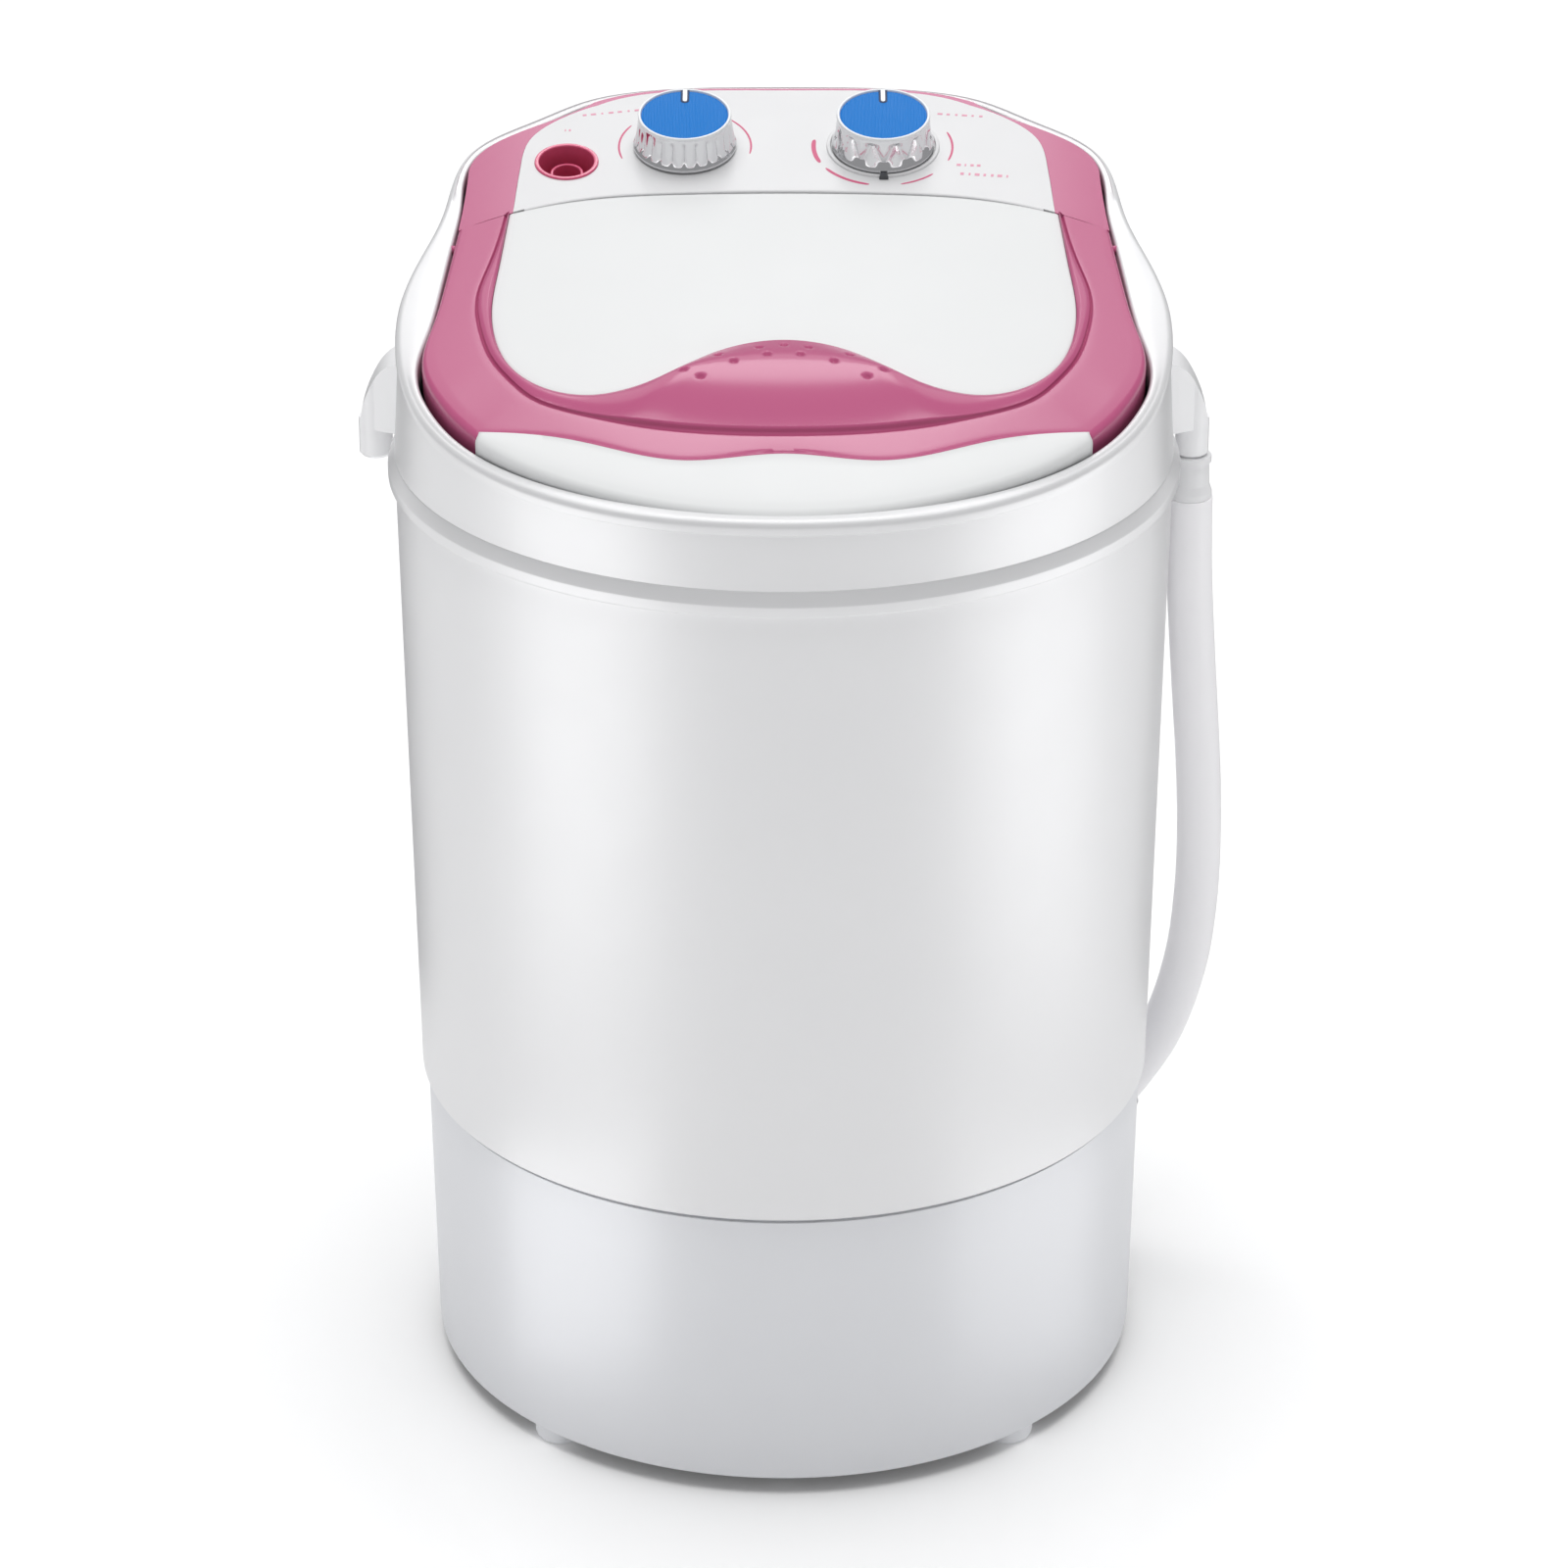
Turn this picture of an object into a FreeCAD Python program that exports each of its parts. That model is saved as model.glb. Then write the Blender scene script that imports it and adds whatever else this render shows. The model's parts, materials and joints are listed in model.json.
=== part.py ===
"""Compact single-tub washing machine with a lift-out spin basket.

A round tapered tub stands on a motor base with four feet. A collar carries a sloping deck: a pink lid
frame with a white window, a white apron in front of it, and a control panel with two knobs and a
water inlet behind it. A drain hose runs from the base up to a peg under the right-hand grip.

Frame: +Z up, +Y to the rear, origin on the floor under the centre of the machine. Millimetres.
"""
import FreeCAD
import Part
import math
import os

V = FreeCAD.Vector
UP = V(0, 0, 1)
OUT = "parts"

# ---- driving dimensions -------------------------------------------------------------------------
WALL = 3.0                      # moulded shell thickness
GAP = 0.35                      # clearance between bodies that move

FOOT_R, FOOT_H = 12.0, 8.0
FOOT_X, FOOT_Y = 99.5, 108.5
PLATE_T = 3.5

SKIRT_R_LOW, SKIRT_R_TOP = 160.0, 162.0
SEAM_Z = 141.0                  # where the tub meets the motor base
TUB_R_LOW, TUB_R_TOP = 164.5, 168.5
TUB_FLOOR_Z, FLOOR_T = 150.0, 4.0
TUB_TOP_Z = 431.0
HUB_R, HUB_TOP_Z = 27.0, 163.0

BAND_R, BAND_Z, BAND_TOP_Z = 171.5, 425.0, 436.0
BAND_R_INNER = 160.5

FOLD_Y, FOLD_Z = 72.0, 514.6    # line where the lid plane and the panel plane meet
LID_TILT, PANEL_TILT = 12.0, 15.0
LOFT_TOP_Z = 560.0              # height of the collar's upper section before it is trimmed
LIP_DEPTH = 15.0                # depth of the lip round the doorway in the collar's top
PANEL_SEAT_DEPTH = 5.0          # depth of the doorway where the panel sits in it

SHAFT_R = 5.95
BEARING_R, BEARING_BORE = 16.0, 6.0
PULLEY_Z, PULLEY_H = 46.0, 14.0
BIG_GROOVE_R, SMALL_GROOVE_R = 62.0, 12.0
GROOVE_DEPTH = 8.0
MOTOR_X = -102.0
MOTOR_R, ROTOR_R, MOTOR_SHAFT_R = 46.0, 25.5, 4.0

KNOB_X, KNOB_Y = 44.2, 122.0
KNOB_R, KNOB_H = 23.0, 18.0
INLET_X, INLET_Y = -96.7, 109.6
INLET_R, INLET_DEPTH, INLET_BORE = 12.0, 16.0, 6.0

DRAIN_ANGLE = 19.0              # azimuth of the sump, from +X towards +Y
SUMP_R, TRAP_Z = 112.0, 49.0
SPOUT_R, SPOUT_BORE = 12.0, 9.0
HOSE_R = 10.2
GRIP_Y, GRIP_LOW_Z, GRIP_TOP_Z = 30.0, 431.5, 464.5
PEG_X, PEG_R, PEG_LOW_Z = 179.1, 7.4, 417.5
PLUG_R, PLUG_LOW_Z = 5.5, 404.0

HINGE_V, HINGE_W = -26.0, -3.6  # hinge axis on the lid plane: along the slope, and below its surface
PIN_R = 2.0

BASKET_R, BASKET_LOW_Z, BASKET_H = 110.0, 179.3, 142.0

# ---- the hose's route: from the spout up to the cuff, points of its centre line ----------------
HOSE_ROUTE = [
    (157.8, 65.0, 82.8),
    (170.6, 66.0, 99.8),
    (179.7, 66.5, 118.8),
    (186.7, 66.2, 143.8),
    (190.2, 64.6, 168.5),
    (191.6, 60.6, 205.5),
    (189.4, 52.0, 252.3),
    (184.8, 42.2, 302.2),
    (181.1, 34.6, 346.2),
    (179.4, 31.0, 375.5),
    (179.1, 30.0, 398.0),
]


# ---- general helpers ----------------------------------------------------------------------------
def save(name, *solids):
    """Writes one sub-part; several solids stay separate in a compound."""
    shape = solids[0] if len(solids) == 1 else Part.makeCompound(list(solids))
    shape.exportStep(os.path.join(OUT, name + ".step"))


def fuse(first, *others):
    return first.multiFuse(list(others)).removeSplitter()


def cut(shape, *tools):
    return shape.cut(list(tools))


def revolve(profile):
    """A solid of revolution about Z from (radius, height) points."""
    points = [V(r, 0, z) for r, z in profile]
    face = Part.Face(Part.makePolygon(points + points[:1]))
    return face.revolve(V(), UP, 360)


def cylinder(r, low, high, x=0.0, y=0.0):
    return Part.makeCylinder(r, high - low, V(x, y, low))


def tube(r_out, r_in, low, high, x=0.0, y=0.0):
    return cylinder(r_out, low, high, x, y).cut(cylinder(r_in, low - 1, high + 1, x, y))


def box(x0, x1, y0, y1, z0, z1):
    return Part.makeBox(x1 - x0, y1 - y0, z1 - z0, V(x0, y0, z0))


def rounded_path(points, name):
    """Straight runs joined by tangent arcs, each arc as large as its two runs allow."""
    edges, start = [], points[0]
    for before, corner, after in zip(points, points[1:], points[2:]):
        a, b = before - corner, after - corner
        back = 0.49 * min(a.Length, b.Length)
        a.normalize()
        b.normalize()
        turn = math.pi - a.getAngle(b)
        radius = back / math.tan(turn / 2)
        print("%s corner radius %.1f mm, turn %.1f degrees" % (name, radius, math.degrees(turn)))
        first, last = corner + a * back, corner + b * back
        middle = corner + (a + b).normalize() * (math.hypot(radius, back) - radius)
        edges.append(Part.LineSegment(start, first).toShape())
        edges.append(Part.Arc(first, middle, last).toShape())
        start = last
    edges.append(Part.LineSegment(start, points[-1]).toShape())
    return Part.Wire(edges)


def sweep(path, r, start, towards):
    """A round bar of radius r along a path that leaves start towards a second point."""
    section = Part.Wire([Part.makeCircle(r, start, towards - start)])
    return path.makePipeShell([section], True, False)


def polar(r, degrees, z=0.0):
    a = math.radians(degrees)
    return V(r * math.cos(a), r * math.sin(a), z)


def turned(shape, degrees):
    copy = shape.copy()
    copy.rotate(V(), UP, degrees)
    return copy


def mirrored(points):
    """Right-hand points from front or rear centre outward, returned with their left-hand mirror."""
    left = [(-x, y) for x, y in reversed(points) if x > 0]
    return left + list(points)


def grown(curves, distance):
    """A closed outline of joined curves, each of its points moved outward by the distance."""
    loop = [point for curve in curves for point in curve[:-1]]
    area = sum(x0 * y1 - x1 * y0 for (x0, y0), (x1, y1) in zip(loop, loop[1:] + loop[:1]))
    sign = math.copysign(1.0, area)
    moved = []
    for k, (x, y) in enumerate(loop):
        before, after = loop[k - 1], loop[(k + 1) % len(loop)]
        first = V(x - before[0], y - before[1], 0).normalize()
        second = V(after[0] - x, after[1] - y, 0).normalize()
        out = V(first.y + second.y, -first.x - second.x, 0) * (sign * distance)
        share = 1 / (1 + first.dot(second))
        moved.append((x + out.x * share, y + out.y * share))
    result, at = [], 0
    for curve in curves:
        count = len(curve) - 1
        result.append([moved[(at + k) % len(moved)] for k in range(count + 1)])
        at += count
    return result


# ---- the deck's two planes ----------------------------------------------------------------------
class Deck:
    """A plane through the fold line. Outlines are given in plan and laid on it."""

    def __init__(self, tilt):
        self.tilt = tilt
        self.cos = math.cos(math.radians(tilt))
        self.tan = math.tan(math.radians(tilt))
        self.place = FreeCAD.Placement(V(0, FOLD_Y, FOLD_Z), FreeCAD.Rotation(V(1, 0, 0), tilt))
        self.normal = self.place.Rotation.multVec(UP)

    def point(self, x, y, w=0.0):
        """The point above plan (x, y), w along the normal from the plane."""
        return self.place.multVec(V(x, (y - FOLD_Y) / self.cos, w))

    def wire(self, curves):
        edges = []
        for curve in curves:
            points = [V(x, (y - FOLD_Y) / self.cos, 0) for x, y in curve]
            if len(points) == 2:
                edges.append(Part.LineSegment(*points).toShape())
            else:
                spline = Part.BSplineCurve()
                spline.interpolate(points)
                edges.append(spline.toShape())
        return Part.Wire(edges)

    def slab(self, curves, low, high, grow=0.0):
        """The outline between two heights on this plane, grown or shrunk sideways."""
        face = Part.Face(self.wire(grown(curves, grow)))
        solid = face.extrude(V(0, 0, high - low))
        solid.translate(V(0, 0, low))
        solid.Placement = self.place.multiply(solid.Placement)
        return solid

    def round(self, x, y, r, low, high):
        """A cylinder standing on this plane at plan (x, y)."""
        return Part.makeCylinder(r, high - low, self.point(x, y, low), self.normal)

    def turn(self, x, y, profile):
        """A solid of revolution standing on this plane at plan (x, y)."""
        solid = revolve(profile)
        solid.Placement = FreeCAD.Placement(self.point(x, y), self.place.Rotation)
        return solid


LID, PANEL = Deck(LID_TILT), Deck(PANEL_TILT)

# ---- outlines in plan: right-hand half, front or rear centre first ------------------------------
SEAM = mirrored([(0, 88.0), (46, 86.8), (85, 82.6), (118, 71.5), (143, 57.0)])
LID_SIDE = [(143, 57.0), (147, 11.0), (150, -16.0), (153.2, -42.0), (151.6, -56.0), (146.4, -71.0),
            (137.5, -88.0), (128, -101.0)]
LID_FRONT = mirrored([(0, -115.8), (24, -119.2), (40, -120.8), (54, -118.6), (70, -112.8),
                      (90, -105.2), (110, -101.6), (128, -101.0)])
WINDOW_SIDE = [(120.5, 60.0), (123.4, 25.0), (125.0, -5.0), (122.6, -29.0), (114.0, -53.0),
               (99.0, -68.0), (81.0, -72.6), (66.0, -68.6), (50.0, -59.5), (33.0, -46.0),
               (16.0, -36.8), (0, -34.0)]
PANEL_SIDE = [(143, 57.0), (141.3, 80.0), (140.4, 104.0)]
PANEL_CORNER = [(140.4, 104.0), (136.0, 117.0), (109.0, 140.5), (86.0, 157.6)]
PANEL_REAR = mirrored([(0, 168.6), (45, 168.2), (65, 165.6), (86, 157.6)])
SEAM_FRONT = [(0, 88.0), (46, 86.8), (85, 82.6), (110, 75.0), (119.2, 70.9)]
FASCIA_SIDE = [(118.2, 90.0), (117.2, 106.0), (113.4, 128.0), (102.5, 142.0),
               (84.0, 154.4)]
FASCIA_REAR = mirrored([(0, 166.4), (45, 165.8), (65, 162.8), (84, 154.4)])
RIM_OUTER = [(0, -168.0), (60, -158.5), (105, -134.2), (131, -110.0), (150, -82.0), (161, -52.0),
             (165.3, -25.0), (165.3, 0.0), (162.5, 20.0), (157.5, 42.0), (152.5, 63.0),
             (149.5, 80.0), (146.0, 104.0), (139.5, 121.0), (112.0, 145.5), (90.0, 160.5),
             (60.0, 168.6), (0, 171.5)]
RIM_INNER = [(0, -159.2), (70, -144.2), (129, -102.4), (138.8, -88.8), (147.7, -71.6),
             (153.0, -56.6), (154.6, -42.0), (151.4, -16.0), (148.4, 11.0), (144.4, 57.0),
             (142.7, 80.0), (141.8, 104.4), (137.2, 118.0), (110.0, 141.6), (87.0, 158.6),
             (66.0, 166.6), (0, 169.6)]
RIM_PROFILE = [(-185, 466.0), (-150, 466.0), (-110, 470.0), (-75, 476.5), (-40, 486.0),
               (0, 497.5), (40, 506.8), (72, 513.4), (120, 526.4), (185, 543.8)]   # (y, z) of the rim


def flip(curve):
    return [(-x, y) for x, y in reversed(curve)]


LID_OUTLINE = [SEAM, LID_SIDE, list(reversed(LID_FRONT)), flip(LID_SIDE)]
PANEL_OUTLINE = [list(reversed(SEAM)), flip(PANEL_SIDE)[::-1], flip(PANEL_CORNER)[::-1],
                 PANEL_REAR, PANEL_CORNER[::-1], PANEL_SIDE[::-1]]


# ---- base ---------------------------------------------------------------------------------------
SCREW_ANGLES = (0, 90, 180, 270)
BOSS_RING_R = 150.0
SCREW_R = 1.75
GLAND_Z, GLAND_R = 52.0, 9.0


def spout_points():
    """The outlet's axis: from the bend at the bottom of the trap to the hose's first point."""
    end, beyond = V(*HOSE_ROUTE[0]), V(*HOSE_ROUTE[1])
    rise = (beyond - end).normalize()
    return end - rise * ((end.z - TRAP_Z) / rise.z), end


def along(start, end, r):
    return Part.makeCylinder(r, (end - start).Length, start, end - start)


def make_base():
    neck_r, neck_top = SKIRT_R_TOP - 0.8, TUB_FLOOR_Z
    shell = revolve([
        (SKIRT_R_LOW - WALL, FOOT_H), (SKIRT_R_LOW - 1.5, FOOT_H), (SKIRT_R_LOW, FOOT_H + 1.5),
        (SKIRT_R_TOP, SEAM_Z - 0.4), (neck_r, SEAM_Z - 0.4), (neck_r, neck_top),
        (neck_r - WALL, neck_top), (neck_r - WALL, SEAM_Z - 6), (SKIRT_R_LOW - WALL, FOOT_H + 6),
    ])
    start, end = spout_points()
    rise = (end - start).normalize()
    within = revolve([(0, 0), (SKIRT_R_LOW - WALL, 0), (SKIRT_R_LOW - WALL, FOOT_H + 6),
                      (neck_r - WALL, SEAM_Z - 6), (neck_r - WALL, neck_top), (0, neck_top)])
    outlet = along(start, end + rise * 5, SPOUT_R + 0.1)
    gland = Part.makeCylinder(GLAND_R + 0.05, 20, V(0, 150, GLAND_Z), V(0, 1, 0))
    save("base_skirt", cut(shell, outlet, gland))
    post_low, post_high = FOOT_H + PLATE_T, 40.0
    posts = []
    for angle in SCREW_ANGLES:
        at = polar(BOSS_RING_R, angle)
        web = turned(box(BOSS_RING_R, SKIRT_R_LOW, -2, 2, post_low, post_high), angle).common(within)
        post = fuse(cylinder(6, post_low, post_high, at.x, at.y), web)
        posts.append(post.cut(cylinder(SCREW_R, 5, 32, at.x, at.y)))
    save("base_posts", *posts)
    collar = along(end - rise * 34, end - rise * 7, SPOUT_R + 3.5)
    filled = fuse(within, shell)
    save("spout_collar", cut(collar, filled, outlet))


def make_base_plate():
    plate = cylinder(SKIRT_R_LOW - WALL - 0.1, FOOT_H, FOOT_H + PLATE_T)
    slot = box(60, 118, -3, 3, 0, 20)
    holes = [turned(slot, angle) for angle in range(15, 375, 30)]
    screws = []
    for angle in SCREW_ANGLES:
        post = polar(BOSS_RING_R, angle)
        holes.append(cylinder(SCREW_R + 0.25, 0, 20, post.x, post.y))
        head = cylinder(4, FOOT_H - 2, FOOT_H, post.x, post.y)
        screws.append(fuse(head, cylinder(SCREW_R, FOOT_H, 30, post.x, post.y)))
    save("base_plate", cut(plate, *holes))
    save("base_screws", *screws)


def make_feet():
    pad = revolve([(0, 0), (FOOT_R - 2.5, 0), (FOOT_R - 0.8, 1.2), (FOOT_R, 3.4), (FOOT_R, FOOT_H),
                   (0, FOOT_H)])
    feet = []
    for sx in (-1, 1):
        for sy in (-1, 1):
            foot = pad.copy()
            foot.translate(V(sx * FOOT_X, sy * FOOT_Y, 0))
            feet.append(foot)
    save("feet", *feet)


def make_cord_gland():
    """The bush that the mains lead would leave through, low on the back of the base."""
    y0 = SKIRT_R_LOW + 0.9
    axis = V(0, 1, 0)
    stem = Part.makeCylinder(GLAND_R, 14, V(0, y0 - 10, GLAND_Z), axis)
    flange = Part.makeCone(12.5, 8.5, 8.5, V(0, y0 - 0.5, GLAND_Z), axis)
    flange = flange.cut(cylinder(SKIRT_R_LOW + 0.9, 0, 140))
    bore = Part.makeCylinder(4, 60, V(0, y0 - 20, GLAND_Z), axis)
    save("cord_gland", fuse(stem, flange).cut(bore))


# ---- tub and drain ------------------------------------------------------------------------------
CHANNEL_Y, CHANNEL_X = 146.0, 27.0
CONDUIT_Y, CONDUIT_R = 152.5, 3.5
TUB_SLOPE = (TUB_R_TOP - TUB_R_LOW) / (TUB_TOP_Z - SEAM_Z)
TUB_INNER_LOW = TUB_R_LOW - WALL + TUB_SLOPE * (TUB_FLOOR_Z + FLOOR_T + 8 - SEAM_Z)


def make_tub():
    floor_top = TUB_FLOOR_Z + FLOOR_T
    tub = revolve([
        (TUB_R_LOW - WALL, SEAM_Z), (TUB_R_LOW, SEAM_Z), (TUB_R_TOP, TUB_TOP_Z),
        (TUB_R_TOP - WALL, TUB_TOP_Z), (TUB_INNER_LOW, floor_top + 8), (TUB_INNER_LOW - 8, floor_top),
        (HUB_R, floor_top), (HUB_R, HUB_TOP_Z),
        (BEARING_R + 0.1, HUB_TOP_Z), (BEARING_R + 0.1, TUB_FLOOR_Z),
        (TUB_R_LOW - WALL, TUB_FLOOR_Z),
    ])
    core = revolve([(0, SEAM_Z), (TUB_R_LOW - WALL / 2, SEAM_Z), (TUB_R_TOP - WALL / 2, TUB_TOP_Z),
                    (0, TUB_TOP_Z)])
    rib = box(156.5, 180, -5, 5, 175, 350).common(core)
    ribs = [turned(rib, angle) for angle in (-120, -60, 0, 60, 120)]
    tub = fuse(tub, *ribs)
    sump = polar(SUMP_R, DRAIN_ANGLE)
    hole = cylinder(13.1, 140, 170, sump.x, sump.y)
    save("wash_tub", cut(tub, hole, cylinder(6, 140, 170, 0, CONDUIT_Y)))

    grid = cylinder(13, TUB_FLOOR_Z, TUB_FLOOR_Z + 3.6, sump.x, sump.y)
    slots = []
    for offset in (-8, -4, 0, 4, 8):
        half = math.sqrt(10.5 ** 2 - offset ** 2)
        x = sump.x + offset
        slots.append(box(x - 1, x + 1, sump.y - half, sump.y + half, 140, 170))
    save("tub_strainer", cut(grid, *slots))


def make_drain():
    """Trap under the tub: down from the sump, across, and up through the wall to the hose."""
    rise_start, end = spout_points()
    corner = polar(SUMP_R, DRAIN_ANGLE, TRAP_Z)
    top = V(corner.x, corner.y, TUB_FLOOR_Z)
    path = rounded_path([top, corner, rise_start, end], "trap")
    flange = cylinder(19, TUB_FLOOR_Z - 3, TUB_FLOOR_Z, top.x, top.y)
    pipe = fuse(sweep(path, SPOUT_R, top, corner), flange)
    save("drain_trap", pipe.cut(sweep(path, SPOUT_BORE, top, corner)))


def make_channel():
    """Cover on the tub's rear wall, and the conduit in it that carries the wires down to the motor."""
    skin, low, top = 2.0, TUB_FLOOR_Z + FLOOR_T + 8, 459.0
    under_flange = BAND_R_INNER - 0.1
    room = revolve([(0, low), (TUB_INNER_LOW, low), (TUB_R_TOP - WALL, TUB_TOP_Z), (under_flange, TUB_TOP_Z),
                    (under_flange, top), (0, top)])
    cover = box(-CHANNEL_X, CHANNEL_X, CHANNEL_Y, 175, low, top).common(room)
    hollow = box(-CHANNEL_X + skin, CHANNEL_X - skin, CHANNEL_Y + skin, 175, 100, 470)
    save("channel_cover", cover.cut(hollow))
    save("wire_conduit", tube(CONDUIT_R, CONDUIT_R - 1, 118, 470, 0, CONDUIT_Y))


# ---- drive --------------------------------------------------------------------------------------
def make_bearings():
    top = TUB_FLOOR_Z
    housing = revolve([
        (14, 112), (BEARING_R + 0.05, 112), (BEARING_R + 0.05, 100), (24, 100), (26, 102), (30, 144),
        (44, 144), (44, top), (BEARING_R + 0.05, top), (BEARING_R + 0.05, 137), (14, 137),
    ])
    save("bearing_housing", housing)
    save("upper_bearing", tube(BEARING_R, BEARING_BORE, 137, 147))
    save("lower_bearing", tube(BEARING_R, BEARING_BORE, 102, 112))
    seal = revolve([(6.1, top), (BEARING_R, top), (BEARING_R, 160), (12, 160), (10, 156),
                    (6.1, 158)])
    save("shaft_seal", seal)


def pulley(r_groove, r_hub, r_bore, low, x=0.0):
    """A V pulley: a grooved rim on a web and hub."""
    high, mid = low + PULLEY_H, low + PULLEY_H / 2
    r_rim = r_groove + GROOVE_DEPTH
    solid = revolve([(0, low), (r_rim, low), (r_rim, mid - 5.4), (r_groove, mid - 3.2),
                     (r_groove, mid + 3.2), (r_rim, mid + 5.4), (r_rim, high), (0, high)])
    tools = [cylinder(r_bore, low - 1, high + 1)]
    if r_groove > 40:
        tools += [tube(r_groove - 6, r_hub, low - 1, mid - 2), tube(r_groove - 6, r_hub, mid + 2, high + 1)]
        window = cylinder(11, low - 1, high + 1, 36, 0)
        tools += [turned(window, angle) for angle in range(0, 360, 60)]
    solid = cut(solid, *tools)
    solid.translate(V(x, 0, 0))
    return solid


def belt_loop(big, small, distance):
    """The closed outline that wraps two circles, the small one at -X."""
    lean = math.asin((big - small) / distance)
    top_big = V(-big * math.sin(lean), big * math.cos(lean), 0)
    top_small = V(-distance - small * math.sin(lean), small * math.cos(lean), 0)
    low_big, low_small = V(top_big.x, -top_big.y, 0), V(top_small.x, -top_small.y, 0)
    edges = [Part.Arc(top_big, V(big, 0, 0), low_big).toShape(),
             Part.LineSegment(low_big, low_small).toShape(),
             Part.Arc(low_small, V(-distance - small, 0, 0), top_small).toShape(),
             Part.LineSegment(top_small, top_big).toShape()]
    return Part.Face(Part.Wire(edges))


def make_drive():
    save("drive_shaft", cylinder(SHAFT_R, 38, 178).cut(cylinder(2.5, 160, 179)))
    save("large_pulley", pulley(BIG_GROOVE_R, 14, SHAFT_R, PULLEY_Z))
    save("motor_pulley", pulley(SMALL_GROOVE_R, 8, MOTOR_SHAFT_R, PULLEY_Z, MOTOR_X))
    nut = Part.Face(Part.makePolygon([polar(9, 60 * k, 40) for k in range(7)])).extrude(V(0, 0, 6))
    save("pulley_nut", nut.cut(cylinder(SHAFT_R, 30, 60)))
    inner, thick, width = GAP + 0.05, 7.0, 5.2
    mid = PULLEY_Z + PULLEY_H / 2
    loop = belt_loop(BIG_GROOVE_R + inner + thick, SMALL_GROOVE_R + inner + thick, -MOTOR_X)
    hole = belt_loop(BIG_GROOVE_R + inner, SMALL_GROOVE_R + inner, -MOTOR_X)
    belt = loop.extrude(V(0, 0, width)).cut(hole.extrude(V(0, 0, width)))
    belt.translate(V(0, 0, mid - width / 2))
    save("drive_belt", belt)


def make_motor():
    x = MOTOR_X
    save("motor_stator", tube(MOTOR_R, ROTOR_R + 0.6, 88, 126, x))
    lower = fuse(tube(MOTOR_R, MOTOR_SHAFT_R + 0.06, 76, 79, x), tube(MOTOR_R, MOTOR_R - 4, 79, 88, x))
    upper = fuse(tube(MOTOR_R, MOTOR_SHAFT_R + 0.06, 138, 141, x), tube(MOTOR_R, MOTOR_R - 4, 126, 138, x))
    vent = box(MOTOR_R - 6, MOTOR_R + 2, -5, 5, 81, 86)
    vents = []
    for angle in range(0, 360, 45):
        low_vent = turned(vent, angle)
        low_vent.translate(V(x, 0, 0))
        high_vent = low_vent.copy()
        high_vent.translate(V(0, 0, 48))
        vents.append((low_vent, high_vent))
    save("motor_lower_bell", cut(lower, *[pair[0] for pair in vents]))
    save("motor_upper_bell", cut(upper, *[pair[1] for pair in vents]))
    save("motor_rotor", fuse(cylinder(ROTOR_R, 86, 128, x), cylinder(MOTOR_SHAFT_R, 44, 138, x)))
    plate = box(x - 38, x + 48, -42, 42, 141, 144)
    plate = plate.common(cylinder(156, 130, 150)).cut(cylinder(MOTOR_SHAFT_R + 2, 130, 150, x))
    save("motor_bracket", plate)
    mounts = [cylinder(7, 144, TUB_FLOOR_Z, x + dx, dy) for dx in (-24, 38) for dy in (-32, 32)]
    save("motor_mounts", *mounts)
    can = fuse(cylinder(17, FOOT_H + PLATE_T, 62, 42, -100), cylinder(15, 62, 65, 42, -100),
               cylinder(3, 65, 72, 36, -100), cylinder(3, 65, 72, 48, -100))
    save("run_capacitor", can)


def make_pulsator():
    disc = revolve([
        (SHAFT_R, 165), (30, 165), (37, 163.4), (60, 158.6), (126.5, 156.6), (128, 158.2),
        (126.5, 160), (60, 162.4), (38, 168), (24, 173), (14, 174.5), (14, 179), (SHAFT_R, 179),
    ])
    fin_side = Part.Face(Part.makePolygon([V(22, -4, 166), V(118, -4, 159), V(113, -4, 166.5),
                                           V(44, -4, 176), V(22, -4, 177), V(22, -4, 166)]))
    fin = fin_side.extrude(V(0, 8, 0))
    fins = [turned(fin, angle) for angle in range(45, 405, 90)]
    save("pulsator", fuse(disc, *fins).cut(cylinder(SHAFT_R, 150, 190)))
    save("pulsator_screw", fuse(cylinder(6.5, 179, 181.6), cylinder(2.5, 165, 179)))


def make_basket():
    r, low, top = BASKET_R, BASKET_LOW_Z, BASKET_LOW_Z + BASKET_H
    shell = revolve([
        (8.5, low), (r - 10, low), (r - 7, low + 1), (r, top), (r - 2.6, top), (r - 9.4, low + 3),
        (30, low + 3), (20, low + 12), (8.5, low + 12),
    ])
    skirt = tube(18.5, 14.6, low - 4.5, low + 0.5)
    shell = fuse(shell, skirt)
    slot = box(r - 25, r + 10, -2.6, 2.6, 0, 15)
    holes = []
    for row in range(5):
        for k in range(18):
            piece = turned(slot, 20 * k + (10 if row % 2 else 0))
            piece.translate(V(0, 0, low + 14 + 23 * row))
            holes.append(piece)
    drain = cylinder(4, low - 2, low + 5, 60, 0)
    holes += [turned(drain, 30 * k) for k in range(12)]
    save("spin_basket", cut(shell, *holes))
    ring = revolve([(r - 4.6, top), (r + 3, top), (r + 4, top + 1.5), (r + 3, top + 8),
                    (r - 3, top + 9), (r - 4.6, top + 8)])
    save("basket_ring", ring)


# ---- collar and grips ---------------------------------------------------------------------------
def rim_z(y):
    for (y0, z0), (y1, z1) in zip(RIM_PROFILE, RIM_PROFILE[1:]):
        if y0 <= y <= y1:
            return z0 + (z1 - z0) * (y - y0) / (y1 - y0)
    return RIM_PROFILE[-1][1]


def loft_section(points, z):
    curve = Part.BSplineCurve()
    curve.interpolate([V(x, y, z) for x, y in points], True)
    return Part.Wire([curve.toShape()])


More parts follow.
